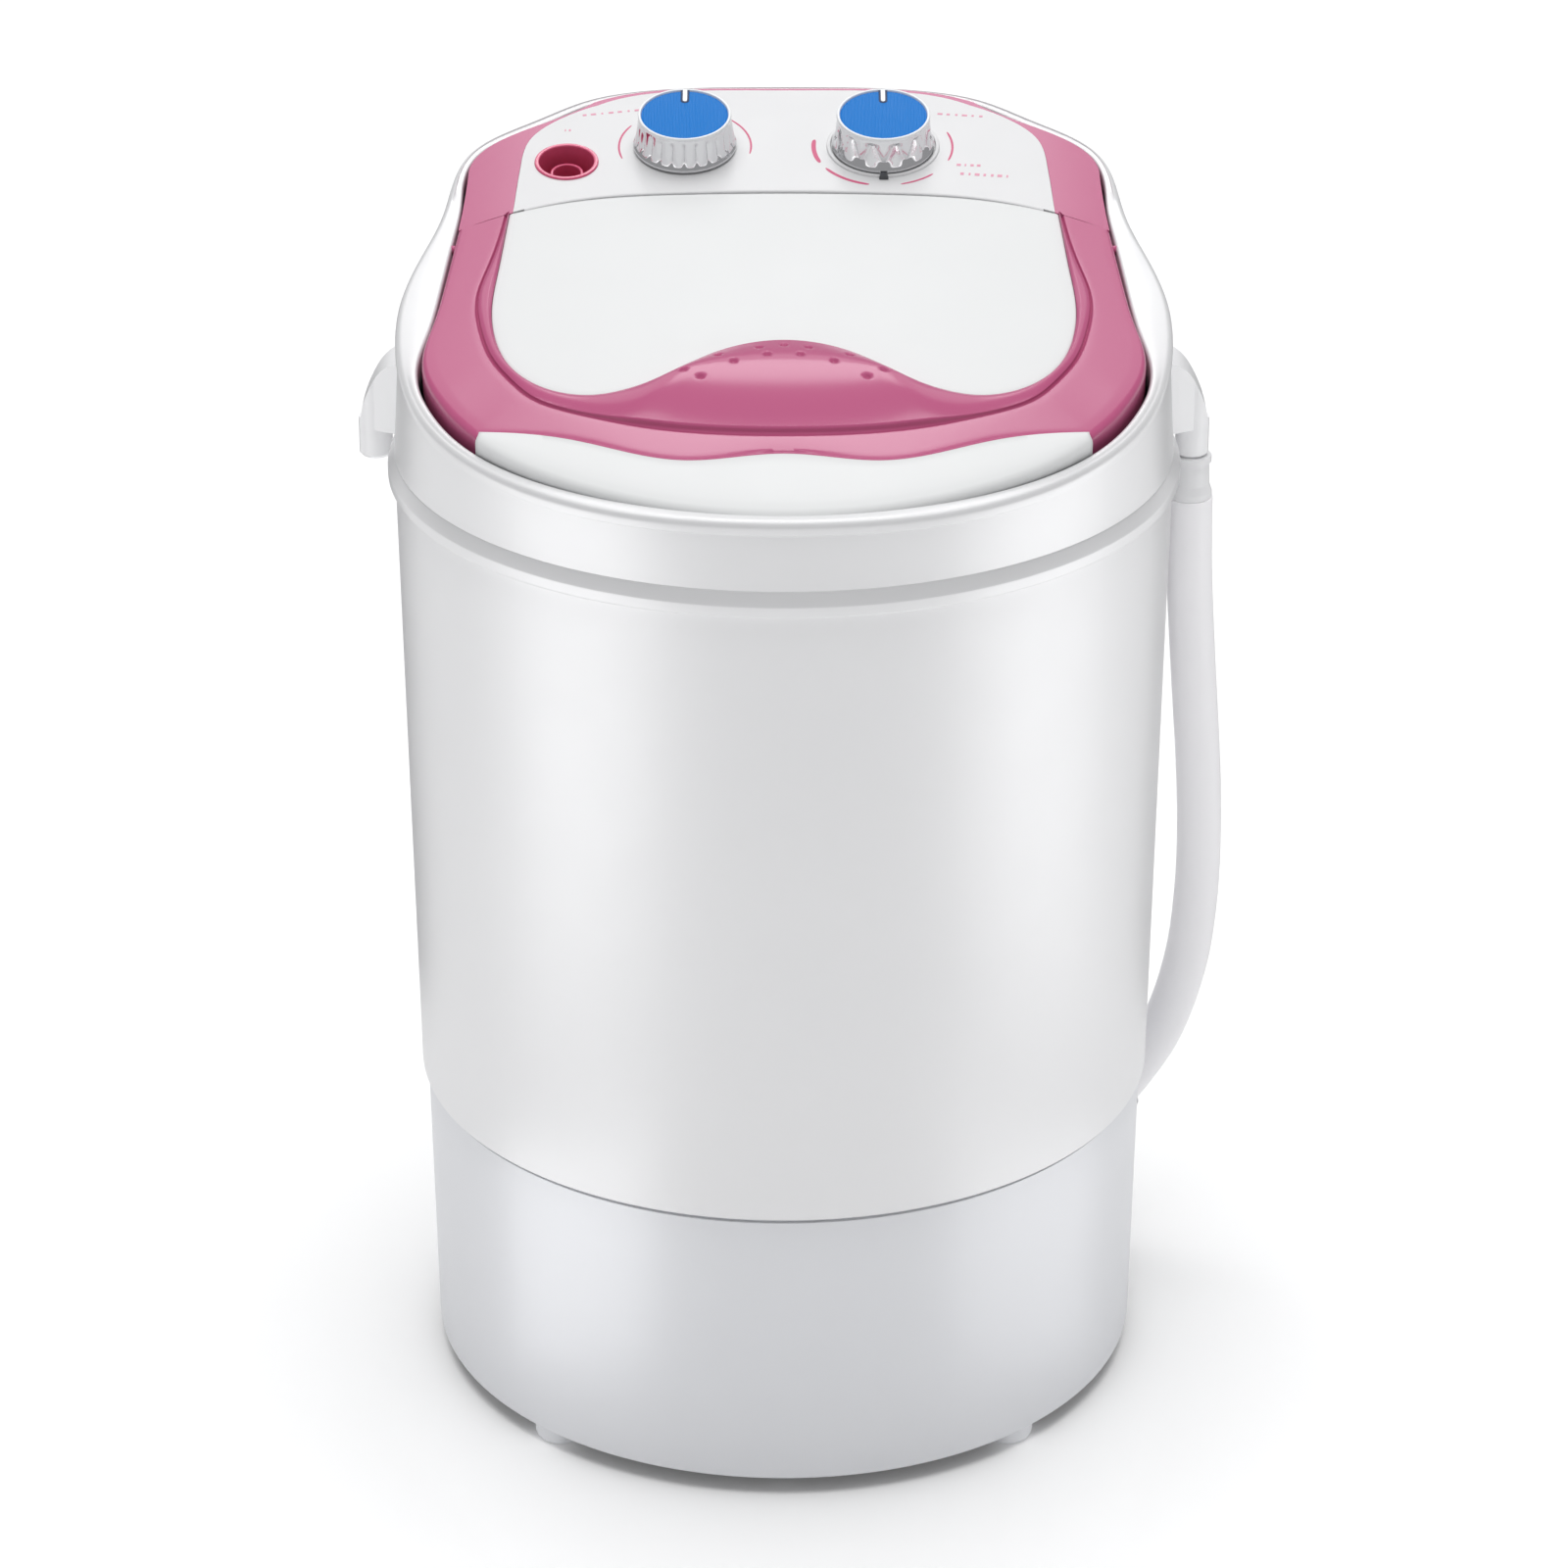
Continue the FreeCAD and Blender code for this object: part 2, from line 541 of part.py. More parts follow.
def collar_volume(inset):
    """The space inside the collar's wall: a circle at the band, the rim's outline at the rim."""
    half = [p for p in RIM_OUTER]
    points = half + [(-x, y) for x, y in reversed(half) if x > 0]
    low, high = [], []
    for x, y in points:
        r = math.hypot(x, y)
        ux, uy = x / r, y / r
        r_low = TUB_R_TOP - inset
        share = (rim_z(y) - BAND_TOP_Z) / (LOFT_TOP_Z - BAND_TOP_Z)
        r_high = r_low + (r - inset - r_low) / share
        low.append((ux * r_low, uy * r_low))
        high.append((ux * r_high, uy * r_high))
    return Part.makeLoft([loft_section(low, BAND_TOP_Z), loft_section(high, LOFT_TOP_Z)], True, True)


def below_rim(offset=0.0):
    """Everything under the rim's curved surface."""
    curve = Part.BSplineCurve()
    curve.interpolate([V(-250, y, z + offset) for y, z in RIM_PROFILE])
    y0, y1 = RIM_PROFILE[0][0], RIM_PROFILE[-1][0]
    z0, z1 = RIM_PROFILE[0][1] + offset, RIM_PROFILE[-1][1] + offset
    sides = [Part.makePolygon([V(-250, y1, z1), V(-250, y1, 400), V(-250, y0, 400), V(-250, y0, z0)])]
    wire = Part.Wire([curve.toShape()] + sides[0].Edges)
    return Part.Face(wire).extrude(V(500, 0, 0))


def opening(low, high, grow=0.0):
    """The rim's inner outline as an upright prism."""
    points = [(0, RIM_INNER[0][1] - grow)] + [
        (x * (1 + grow / math.hypot(x, y)), y * (1 + grow / math.hypot(x, y))) for x, y in RIM_INNER[1:-1]
    ] + [(0, RIM_INNER[-1][1] + grow)]
    loop = points + [(-x, y) for x, y in reversed(points) if x > 0]
    return Part.Face(loft_section(loop, low)).extrude(V(0, 0, high - low))


def hinge_point(x=0.0):
    return LID.place.multVec(V(x, HINGE_V, HINGE_W))


def make_collar():
    outer = collar_volume(0).common(below_rim())
    inner = collar_volume(WALL).common(below_rim(-WALL))
    front = box(-200, 200, -200, FOLD_Y, 400, 600)
    deep = fuse(below_rim(-LIP_DEPTH).common(front), below_rim(-PANEL_SEAT_DEPTH).cut(front))
    doorway = opening(440, 600).cut(deep)
    lip = opening(440, 600, 2.2).common(below_rim(-0.5)).common(outer)
    shell = fuse(outer.cut(inner), lip.cut(deep)).cut(doorway)
    band = revolve([
        (TUB_R_TOP + 0.05, BAND_Z), (BAND_R - 1, BAND_Z), (BAND_R, BAND_Z + 1), (BAND_R, BAND_Z + 4),
        (TUB_R_TOP + 0.2, BAND_TOP_Z + 0.6), (BAND_R_INNER, BAND_TOP_Z + 0.6),
        (BAND_R_INNER, TUB_TOP_Z), (TUB_R_TOP + 0.05, TUB_TOP_Z),
    ])
    collar = fuse(band, shell)
    lugs = []
    for side in (-1, 1):
        lug = box(min(side * 145.2, side * 156), max(side * 145.2, side * 156), 38, 56, 494, 512)
        lugs.append(lug.common(collar_volume(WALL - 0.5)).common(below_rim(-0.8)))
    rests = [LID.slab([[(-90, -170), (90, -170)], [(90, -170), (90, -149)], [(90, -149), (-90, -149)],
                       [(-90, -149), (-90, -170)]], -13, -10)]
    for side in (-1, 1):
        near, far = sorted((side * 138.7, side * 150))
        rests.append(PANEL.slab([[(near, 84), (far, 84)], [(far, 84), (far, 112)], [(far, 112), (near, 112)],
                                 [(near, 112), (near, 84)]], -15, -12))
    inside = collar_volume(WALL - 0.5)
    collar = fuse(collar, *lugs, *[rest.common(inside) for rest in rests])
    axis = Part.makeCylinder(PIN_R + 0.08, 320, hinge_point(-160), V(1, 0, 0))
    socket = axis.common(box(-152, 152, 0, 100, 450, 600))
    save("top_collar", collar.cut(socket))


def make_grip():
    """The right-hand grip: a hood that leans out from the collar and ends in a peg that points down."""
    low, top = GRIP_LOW_Z, GRIP_TOP_Z
    brow = Part.BSplineCurve()
    brow.interpolate([V(160, 0, top + 0.6), V(167, 0, top), V(174, 0, top - 3.6), V(180, 0, top - 12),
                      V(184, 0, top - 22), V(186, 0, low)])
    under = Part.makePolygon([V(186, 0, low), V(160, 0, low), V(160, 0, top + 0.6)])
    hood = Part.Face(Part.Wire([brow.toShape()] + under.Edges)).extrude(V(0, 60, 0))
    end = PEG_R + 0.5
    flank = [V(158, 17, 0), V(172, 11.5, 0), V(PEG_X, end, 0)]
    nose = Part.Arc(flank[2], V(PEG_X + end, 0, 0), V(PEG_X, -end, 0)).toShape()
    sides = Part.makePolygon([V(PEG_X, -end, 0), V(172, -11.5, 0), V(158, -17, 0)] + flank)
    plan = Part.Face(Part.Wire([nose] + sides.Edges)).extrude(V(0, 0, 600))
    plan.translate(V(0, 30, 0))
    hood = hood.common(plan)
    hood.translate(V(0, GRIP_Y - 30, 0))
    peg = revolve([(0, PEG_LOW_Z), (PEG_R - 1.5, PEG_LOW_Z), (PEG_R, PEG_LOW_Z + 1.5), (PEG_R, low + 4),
                   (0, low + 4)])
    peg.translate(V(PEG_X, GRIP_Y, 0))
    band = cylinder(BAND_R + 0.05, 400, BAND_Z + 4)
    taper = Part.makeCone(BAND_R + 0.05, TUB_R_TOP + 0.25, BAND_TOP_Z + 0.6 - BAND_Z - 4, V(0, 0, BAND_Z + 4))
    return fuse(hood, peg).cut([collar_volume(0), band, taper])


def make_handles():
    grip = make_grip()
    save("left_handle", grip.mirror(V(), V(1, 0, 0)))
    plug = revolve([(0, PLUG_LOW_Z), (PLUG_R - 1, PLUG_LOW_Z), (PLUG_R, PLUG_LOW_Z + 2),
                    (PLUG_R, PEG_LOW_Z + 1), (0, PEG_LOW_Z + 1)])
    plug.translate(V(PEG_X, GRIP_Y, 0))
    save("right_handle", fuse(grip, plug))


# ---- hose ---------------------------------------------------------------------------------------
def make_hose():
    points = [V(*p) for p in HOSE_ROUTE]
    path = rounded_path(points, "hose")
    hose = sweep(path, HOSE_R, points[0], points[1])
    share = hose.Volume / (math.pi * HOSE_R ** 2 * path.Length)
    print("hose length %.1f mm, volume over section times length %.4f" % (path.Length, share))
    save("drain_hose", hose)
    low, high = HOSE_ROUTE[-1][2], PEG_LOW_Z
    bore = PLUG_R + 0.1
    cuff = revolve([(0, low), (9.4, low), (9.4, low + 2), (8.4, low + 14), (8.4, high - 3), (8.9, high - 3),
                    (8.9, high), (bore, high), (bore, PLUG_LOW_Z - 1), (0, PLUG_LOW_Z - 1)])
    cuff.translate(V(PEG_X, GRIP_Y, 0))
    save("hose_cuff", cuff)


# ---- lid ----------------------------------------------------------------------------------------
LID_SKIRT = 14.0
SEAT_DEPTH = 2.0


def window_curves():
    rear = mirrored([(0, 85.0), (46, 83.8), (85, 79.6), (118, 68.5)])
    corner = [(118, 68.5), (120.5, 60.0)]
    front = WINDOW_SIDE + [(-x, y) for x, y in reversed(WINDOW_SIDE) if x > 0]
    return [rear, corner, front, flip(corner)]


def make_lid():
    plate = LID.slab(LID_OUTLINE, -WALL, 0, -0.5)
    skirt = LID.slab(LID_OUTLINE, -LID_SKIRT, 0, -0.5).cut(LID.slab(LID_OUTLINE, -LID_SKIRT - 1, 1, -3.0))
    rear = box(-150, 150, 40, 100, 450, 540)
    skirt = skirt.cut(rear)
    hump = Part.makeSphere(1.0, V(), V(1, 0, 0))
    scale = FreeCAD.Matrix()
    scale.scale(74.0, 40.0, 11.5)
    hump = hump.transformGeometry(scale)
    hump.Placement = FreeCAD.Placement(LID.point(0, -60, -3.0), LID.place.Rotation)
    hump = hump.common(LID.slab(LID_OUTLINE, -1.5, 30, -6))
    window = window_curves()
    frame = fuse(plate, skirt, hump)
    frame = cut(frame, LID.slab(window, -SEAT_DEPTH, 30), LID.slab(window, -10, 5, -6))
    for side in (-1, 1):
        boss = Part.makeCylinder(4.5, 8, hinge_point(side * 143.6 - (0 if side < 0 else 8)), V(1, 0, 0))
        boss = boss.common(LID.slab(LID_OUTLINE, -12, -0.5, -0.5))
        frame = fuse(frame, boss)
    pins = []
    for side in (-1, 1):
        start = hinge_point(side * 137 if side > 0 else -149.5)
        pin = Part.makeCylinder(PIN_R, 12.5, start, V(1, 0, 0))
        pins.append(pin)
        frame = frame.cut(Part.makeCylinder(PIN_R, 12.5, start, V(1, 0, 0)))
    save("lid_frame", frame)
    save("lid_hinge_pins", *pins)
    save("lid_window", LID.slab(window, -SEAT_DEPTH, 0.4, -0.25))


def make_ledge():
    """White apron between the lid's waved front edge and the rim."""
    gap = 1.0
    rear = [(x, y - gap) for x, y in LID_FRONT]
    x_end, y_end = rear[-1]
    front = [(-x_end, y_end), (-70, -143.0), (0, -158.0), (70, -143.0), (x_end, y_end)]
    curves = [list(reversed(rear)), front]
    plate = LID.slab(curves, -WALL, 0, -0.3)
    skirt = LID.slab(curves, -10, 0, -0.3).cut(LID.slab(curves, -11, 1, -2.6))
    save("front_ledge", fuse(plate, skirt))


# ---- control panel ------------------------------------------------------------------------------
def fascia_curves(behind):
    """The fascia's outline, with its front edge a given distance behind the seam."""
    front = mirrored([(x, y + behind) for x, y in SEAM_FRONT])
    side = [front[-1]] + FASCIA_SIDE
    return [front, side, list(reversed(FASCIA_REAR)), flip(side)]


def panel_holes(low, high, knob_r, inlet_r):
    return [PANEL.round(-KNOB_X, KNOB_Y, knob_r, low, high), PANEL.round(KNOB_X, KNOB_Y, knob_r, low, high),
            PANEL.round(INLET_X, INLET_Y, inlet_r, low, high)]


def make_panel():
    base = PANEL.slab(PANEL_OUTLINE, -4, 0, -0.6)
    skirt = PANEL.slab(PANEL_OUTLINE, -12, 0, -0.6).cut(PANEL.slab(PANEL_OUTLINE, -13, 1, -3.2))
    skirt = skirt.cut(box(-160, 160, 0, 95, 400, 600)).common(collar_volume(WALL + GAP))
    recess = PANEL.slab(fascia_curves(-1.5), -2, 2)
    surround = cut(fuse(base, skirt), recess, *panel_holes(-20, 5, 4.2, 13.5))
    save("panel_surround", surround)
    plate = PANEL.slab(fascia_curves(0.5), -2, 0.3, -0.2)
    save("panel_fascia", cut(plate, *panel_holes(-20, 5, 4.2, 13.5)))


def make_control_box():
    floor_z, front_y, skin = 462.0, 93.0, 2.4
    under = PANEL.slab([[(-200, 60), (200, 60)], [(200, 60), (200, 200)], [(200, 200), (-200, 200)],
                        [(-200, 200), (-200, 60)]], -90, -12)
    solid = box(-138.5, 138.5, front_y, 200, floor_z, 600).common(collar_volume(WALL + 2.6)).common(under)
    room = box(-138.5 + skin, 138.5 - skin, front_y + skin, 200, floor_z + skin, 600)
    tray = solid.cut(room.common(collar_volume(WALL + 2.6 + skin)))
    pipe = PANEL.round(INLET_X, INLET_Y, 8.9, -90, -20)
    save("control_box", cut(tray, pipe, cylinder(CONDUIT_R, 400, 500, 0, CONDUIT_Y)))


def make_inlet():
    """A round cup let into the panel, with a nipple standing in it and a pipe down through the box."""
    low, bore = -INLET_DEPTH, INLET_BORE
    cup = PANEL.turn(INLET_X, INLET_Y, [
        (bore, -66), (bore + 1.5, -66), (bore + 1.5, low - 2), (13.3, low - 2), (13.3, 0.3), (14.2, 0.3),
        (14.2, 1.0), (INLET_R, 1.0), (INLET_R, low), (bore + 1.5, low), (bore + 1.5, -5), (bore, -5),
    ])
    save("water_inlet", cup)


def make_controls():
    for name, x, r, depth in (("wash_timer", -KNOB_X, 24, 30), ("mode_switch", KNOB_X, 20, 24)):
        body = PANEL.round(x, KNOB_Y, r, -4 - depth, -4)
        shaft_low = -4 - depth * 0.6
        save(name, body.cut(PANEL.round(x, KNOB_Y, 3.06, shaft_low - 0.3, 0)))
        save(name + "_shaft", PANEL.round(x, KNOB_Y, 3.0, shaft_low, 13.0))
        knob = PANEL.turn(x, KNOB_Y, [
            (3.0, 2.0), (7, 2.0), (7, 12), (19.2, 12), (20.6, 1.0), (KNOB_R, 1.0), (KNOB_R, 2.6),
            (21.6, 4.0), (20.8, 16.6), (20.0, KNOB_H), (19.4, KNOB_H), (19.4, 15.6), (3.0, 15.6),
        ])
        save(name + "_knob", knob)
        pointer = box(-1.3, 1.3, 10.5, 18.6, 15.0, KNOB_H + 0.1)
        pointer.Placement = FreeCAD.Placement(PANEL.point(x, KNOB_Y), PANEL.place.Rotation)
        cap = PANEL.round(x, KNOB_Y, 19.3, 15.6, KNOB_H - 0.4)
        save(name + "_cap", cap.cut(pointer))
        save(name + "_pointer", pointer.common(PANEL.round(x, KNOB_Y, 19.3, 15.6, KNOB_H + 5)))


def main():
    os.makedirs(OUT, exist_ok=True)
    make_base()
    make_base_plate()
    make_feet()
    make_cord_gland()
    make_tub()
    make_drain()
    make_channel()
    make_bearings()
    make_drive()
    make_motor()
    make_pulsator()
    make_basket()
    make_collar()
    make_handles()
    make_hose()
    make_lid()
    make_ledge()
    make_panel()
    make_control_box()
    make_inlet()
    make_controls()


main()
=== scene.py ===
"""Looks of the compact single-tub washing machine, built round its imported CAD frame.

Every piece is in metres in the frame's own axes: +Z up, +Y to the rear. Plan outlines are written in
millimetres, as in the part's own source, and laid on the two tilted planes of the deck.
"""
import json
import math

import bpy
import numpy as np
from mathutils import Matrix, Vector


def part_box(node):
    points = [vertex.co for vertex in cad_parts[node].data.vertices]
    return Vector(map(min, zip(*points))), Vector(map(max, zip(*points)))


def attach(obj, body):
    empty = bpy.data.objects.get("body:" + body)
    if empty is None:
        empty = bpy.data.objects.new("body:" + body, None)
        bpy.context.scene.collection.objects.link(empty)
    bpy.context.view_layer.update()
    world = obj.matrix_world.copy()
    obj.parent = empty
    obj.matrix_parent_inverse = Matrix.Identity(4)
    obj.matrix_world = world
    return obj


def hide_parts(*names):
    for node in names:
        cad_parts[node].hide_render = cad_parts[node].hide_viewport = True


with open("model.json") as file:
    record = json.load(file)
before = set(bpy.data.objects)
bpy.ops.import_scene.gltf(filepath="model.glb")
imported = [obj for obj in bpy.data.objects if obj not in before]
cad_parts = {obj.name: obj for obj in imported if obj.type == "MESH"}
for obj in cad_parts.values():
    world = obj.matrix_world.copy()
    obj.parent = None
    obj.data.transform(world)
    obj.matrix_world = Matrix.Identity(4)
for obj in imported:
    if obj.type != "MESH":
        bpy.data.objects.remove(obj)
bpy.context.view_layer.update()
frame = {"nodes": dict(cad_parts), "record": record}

MM = 0.001
RECORD = frame["record"]


# ---- places read from the frame -----------------------------------------------------------------
def low(node):
    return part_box(node)[0]


def high(node):
    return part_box(node)[1]


WALL = 3 * MM             # thickness of the moulded walls
PLATE_INSET = 3.1 * MM    # from the base's foot to the edge of its plate
TUB_TAPER = 4 * MM        # how much the tub's radius grows from its foot to its top
BAND_HEIGHT = 11 * MM
BASE_LOW_Z, SEAM_Z = low("base_skirt")[2], low("wash_tub")[2]
TUB_TOP_Z, BAND_Z = high("wash_tub")[2], low("top_collar")[2]
BAND_TOP_Z = BAND_Z + BAND_HEIGHT
SKIRT_R_LOW, SKIRT_R_TOP = high("base_plate")[0] + PLATE_INSET, high("base_skirt")[1]
TUB_R_TOP = high("wash_tub")[1]
TUB_R_LOW = TUB_R_TOP - TUB_TAPER
TUB_LEAN = TUB_TAPER / (TUB_TOP_Z - SEAM_Z)
BAND_R = high("top_collar")[1]


# ---- the deck's two planes ----------------------------------------------------------------------
FOLD_Y, FOLD_Z = 72.0, 514.6    # where the lid plane and the panel plane meet, millimetres
LID_TILT, PANEL_TILT = math.radians(12), math.radians(15)


def lay(points, heights, tilt):
    """Plan points in millimetres laid on a tilted plane, each raised along its normal: rows of metres."""
    points, heights = np.asarray(points, float), np.asarray(heights, float)
    v = (points[..., 1] - FOLD_Y) / math.cos(tilt)
    y = FOLD_Y + v * math.cos(tilt) - heights * math.sin(tilt)
    z = FOLD_Z + v * math.sin(tilt) + heights * math.cos(tilt)
    return np.stack([points[..., 0], y, z], -1) * MM


def stand(x, y, tilt=PANEL_TILT):
    """The placement of something that stands on a tilted plane at plan (x, y) millimetres."""
    x0, y0, z0 = lay([(x, y)], [0], tilt)[0]
    return Matrix.Translation((x0, y0, z0)) @ Matrix.Rotation(tilt, 4, "X")


# ---- outlines in plan, right-hand half, millimetres ---------------------------------------------
def mirrored(points):
    return [(-x, y) for x, y in reversed(points) if x > 0] + list(points)


SEAM = mirrored([(0, 88.0), (46, 86.8), (85, 82.6), (118, 71.5), (143, 57.0)])
LID_SIDE = [(143, 57.0), (147, 11.0), (150, -16.0), (153.2, -42.0), (151.6, -56.0), (146.4, -71.0),
            (137.5, -88.0), (128, -101.0)]
LID_FRONT = mirrored([(0, -115.8), (24, -119.2), (40, -120.8), (54, -118.6), (70, -112.8),
                      (90, -105.2), (110, -101.6), (128, -101.0)])
WINDOW = [(120.5, 70.6), (121.2, 60.0), (123.4, 25.0), (125.0, -5.0), (122.6, -29.0), (114.0, -53.0),
          (99.0, -68.0), (81.0, -72.6), (66.0, -68.6), (50.0, -59.5), (33.0, -46.0), (16.0, -36.8),
          (0, -34.0)]
CREASE = [(121.2, 70.4), (123.5, 50.0), (127.2, 28.0), (130.6, 8.0), (130.6, -8.0), (128.2, -24.0),
          (122.7, -44.4), (113.7, -61.4), (103.4, -74.7), (90.0, -82.7), (73.6, -89.2), (60.0, -93.6),
          (33.0, -98.6), (0, -100.2)]
RIM_OUTER = [(0, -168.0), (60, -158.5), (105, -134.2), (131, -110.0), (150, -82.0), (161, -52.0),
             (165.3, -25.0), (165.3, 0.0), (162.5, 20.0), (157.5, 42.0), (152.5, 63.0),
             (149.5, 80.0), (146.0, 104.0), (139.5, 121.0), (112.0, 145.5), (90.0, 160.5),
             (60.0, 168.6), (0, 171.5)]
RIM_INNER = [(0, -159.2), (70, -144.2), (129, -102.4), (138.8, -88.8), (147.7, -71.6),
             (153.0, -56.6), (154.6, -42.0), (151.4, -16.0), (148.4, 11.0), (144.4, 57.0),
             (142.7, 80.0), (141.8, 104.4), (137.2, 118.0), (110.0, 141.6), (87.0, 158.6),
             (66.0, 166.6), (0, 169.6)]
RIM_PROFILE = [(-185, 466.0), (-150, 466.0), (-110, 470.0), (-75, 476.5), (-40, 486.0),
               (0, 497.5), (40, 506.8), (72, 513.4), (120, 526.4), (185, 543.8)]   # (y, z) of the rim


PER_SPAN = 8    # points drawn from one given point of a smooth curve to the next


def through(points):
    """Points on the natural cubic spline through the given ones."""
    p = np.array(points, float)
    count = len(p)
    h = np.linalg.norm(np.diff(p, axis=0), axis=1)
    a, r = np.eye(count), np.zeros((count, 2))
    for i in range(1, count - 1):
        a[i, i - 1:i + 2] = h[i - 1], 2 * (h[i - 1] + h[i]), h[i]
        r[i] = 6 * ((p[i + 1] - p[i]) / h[i] - (p[i] - p[i - 1]) / h[i - 1])
    m = np.linalg.solve(a, r)
    curve = []
    for i in range(count - 1):
        start = p[i] / h[i] - m[i] * h[i] / 6
        end = p[i + 1] / h[i] - m[i + 1] * h[i] / 6
        for s in np.linspace(0, h[i], PER_SPAN, endpoint=False):
            t = h[i] - s
            bend = (m[i] * t ** 3 + m[i + 1] * s ** 3) / (6 * h[i])
            curve.append(bend + start * t + end * s)
    curve.append(p[-1])
    return np.array(curve)


def loop(half):
    """A closed smooth outline from its right-hand half, front centre to rear centre."""
    ring = list(half) + [(-x, y) for x, y in reversed(half) if x > 0]
    wrap = 4
    curve = through(ring[-wrap:] + ring + ring[:wrap + 1])
    return curve[PER_SPAN * wrap:PER_SPAN * (wrap + len(ring))]


def reach(outline, centre, angles):
    """How far an outline lies from a centre in each direction."""
    d = np.asarray(outline) - np.asarray(centre)
    own = np.arctan2(d[:, 1], d[:, 0])
    order = np.argsort(own)
    return np.interp(angles, own[order], np.hypot(d[:, 0], d[:, 1])[order], period=2 * math.pi)


def rays(centre, angles, distance):
    """Points at a distance from a centre in each direction."""
    return np.stack([centre[0] + distance * np.cos(angles), centre[1] + distance * np.sin(angles)], -1)


def ramp(x, a, b):
    """0 below a, 1 above b, smooth between."""
    t = np.clip((np.asarray(x, float) - a) / (b - a), 0, 1)
    return t * t * (3 - 2 * t)


# ---- materials ----------------------------------------------------------------------------------
def srgb(r, g, b):
    return tuple(((c / 255 + 0.055) / 1.055) ** 2.4 for c in (r, g, b)) + (1.0,)


COAT_ROUGHNESS, GRAIN_DEPTH = 0.16, 0.0004
CLOUD_SCALE, SCUFF_SCALE = 14.0, 45.0    # noise that mottles the colour and makes the gloss uneven


def material(name, colour, roughness, metallic=0.0, coat=0.0, mottle=0.03, grain=900.0, bump=0.04,
             scuff=0.05, bands=None, shine=0.5):
    """A moulded or metal surface: faintly mottled colour, fine grain in its bump, and uneven gloss.

    bands puts fine ridges across it in place of the grain, and shine is its specular level.
    """
    mat = bpy.data.materials.new(name)
    mat.use_nodes = True
    nodes, links = mat.node_tree.nodes, mat.node_tree.links
    shader = nodes["Principled BSDF"]
    shader.inputs["Metallic"].default_value = metallic
    shader.inputs["Coat Weight"].default_value = coat
    shader.inputs["Coat Roughness"].default_value = COAT_ROUGHNESS
    shader.inputs["Specular IOR Level"].default_value = shine
    place = nodes.new("ShaderNodeTexCoord").outputs["Object"]

    def noise(scale, detail):
        tex = nodes.new("ShaderNodeTexNoise")
        tex.inputs["Scale"].default_value = scale
        tex.inputs["Detail"].default_value = detail
        links.new(place, tex.inputs["Vector"])
        return tex.outputs["Fac"]

    cloud = noise(CLOUD_SCALE, 5.0)
    blend = nodes.new("ShaderNodeMix")
    blend.data_type = "RGBA"
    blend.inputs["A"].default_value = tuple(c * (1 - mottle) for c in colour[:3]) + (1.0,)
    blend.inputs["B"].default_value = tuple(min(1.0, c * (1 + mottle)) for c in colour[:3]) + (1.0,)
    links.new(cloud, blend.inputs["Factor"])
    links.new(blend.outputs["Result"], shader.inputs["Base Color"])
    spread = nodes.new("ShaderNodeMapRange")
    spread.inputs["To Min"].default_value = max(0.02, roughness - scuff)
    spread.inputs["To Max"].default_value = roughness + scuff
    links.new(noise(SCUFF_SCALE, 6.0), spread.inputs["Value"])
    links.new(spread.outputs["Result"], shader.inputs["Roughness"])
    height = noise(grain, 3.0)
    if bands:
        wave = nodes.new("ShaderNodeTexWave")
        wave.bands_direction = "X"
        wave.inputs["Scale"].default_value = bands
        links.new(place, wave.inputs["Vector"])
        height = wave.outputs["Fac"]
    relief = nodes.new("ShaderNodeBump")
    relief.inputs["Strength"].default_value = bump
    relief.inputs["Distance"].default_value = GRAIN_DEPTH
    links.new(height, relief.inputs["Height"])
    links.new(relief.outputs["Normal"], shader.inputs["Normal"])
    return mat


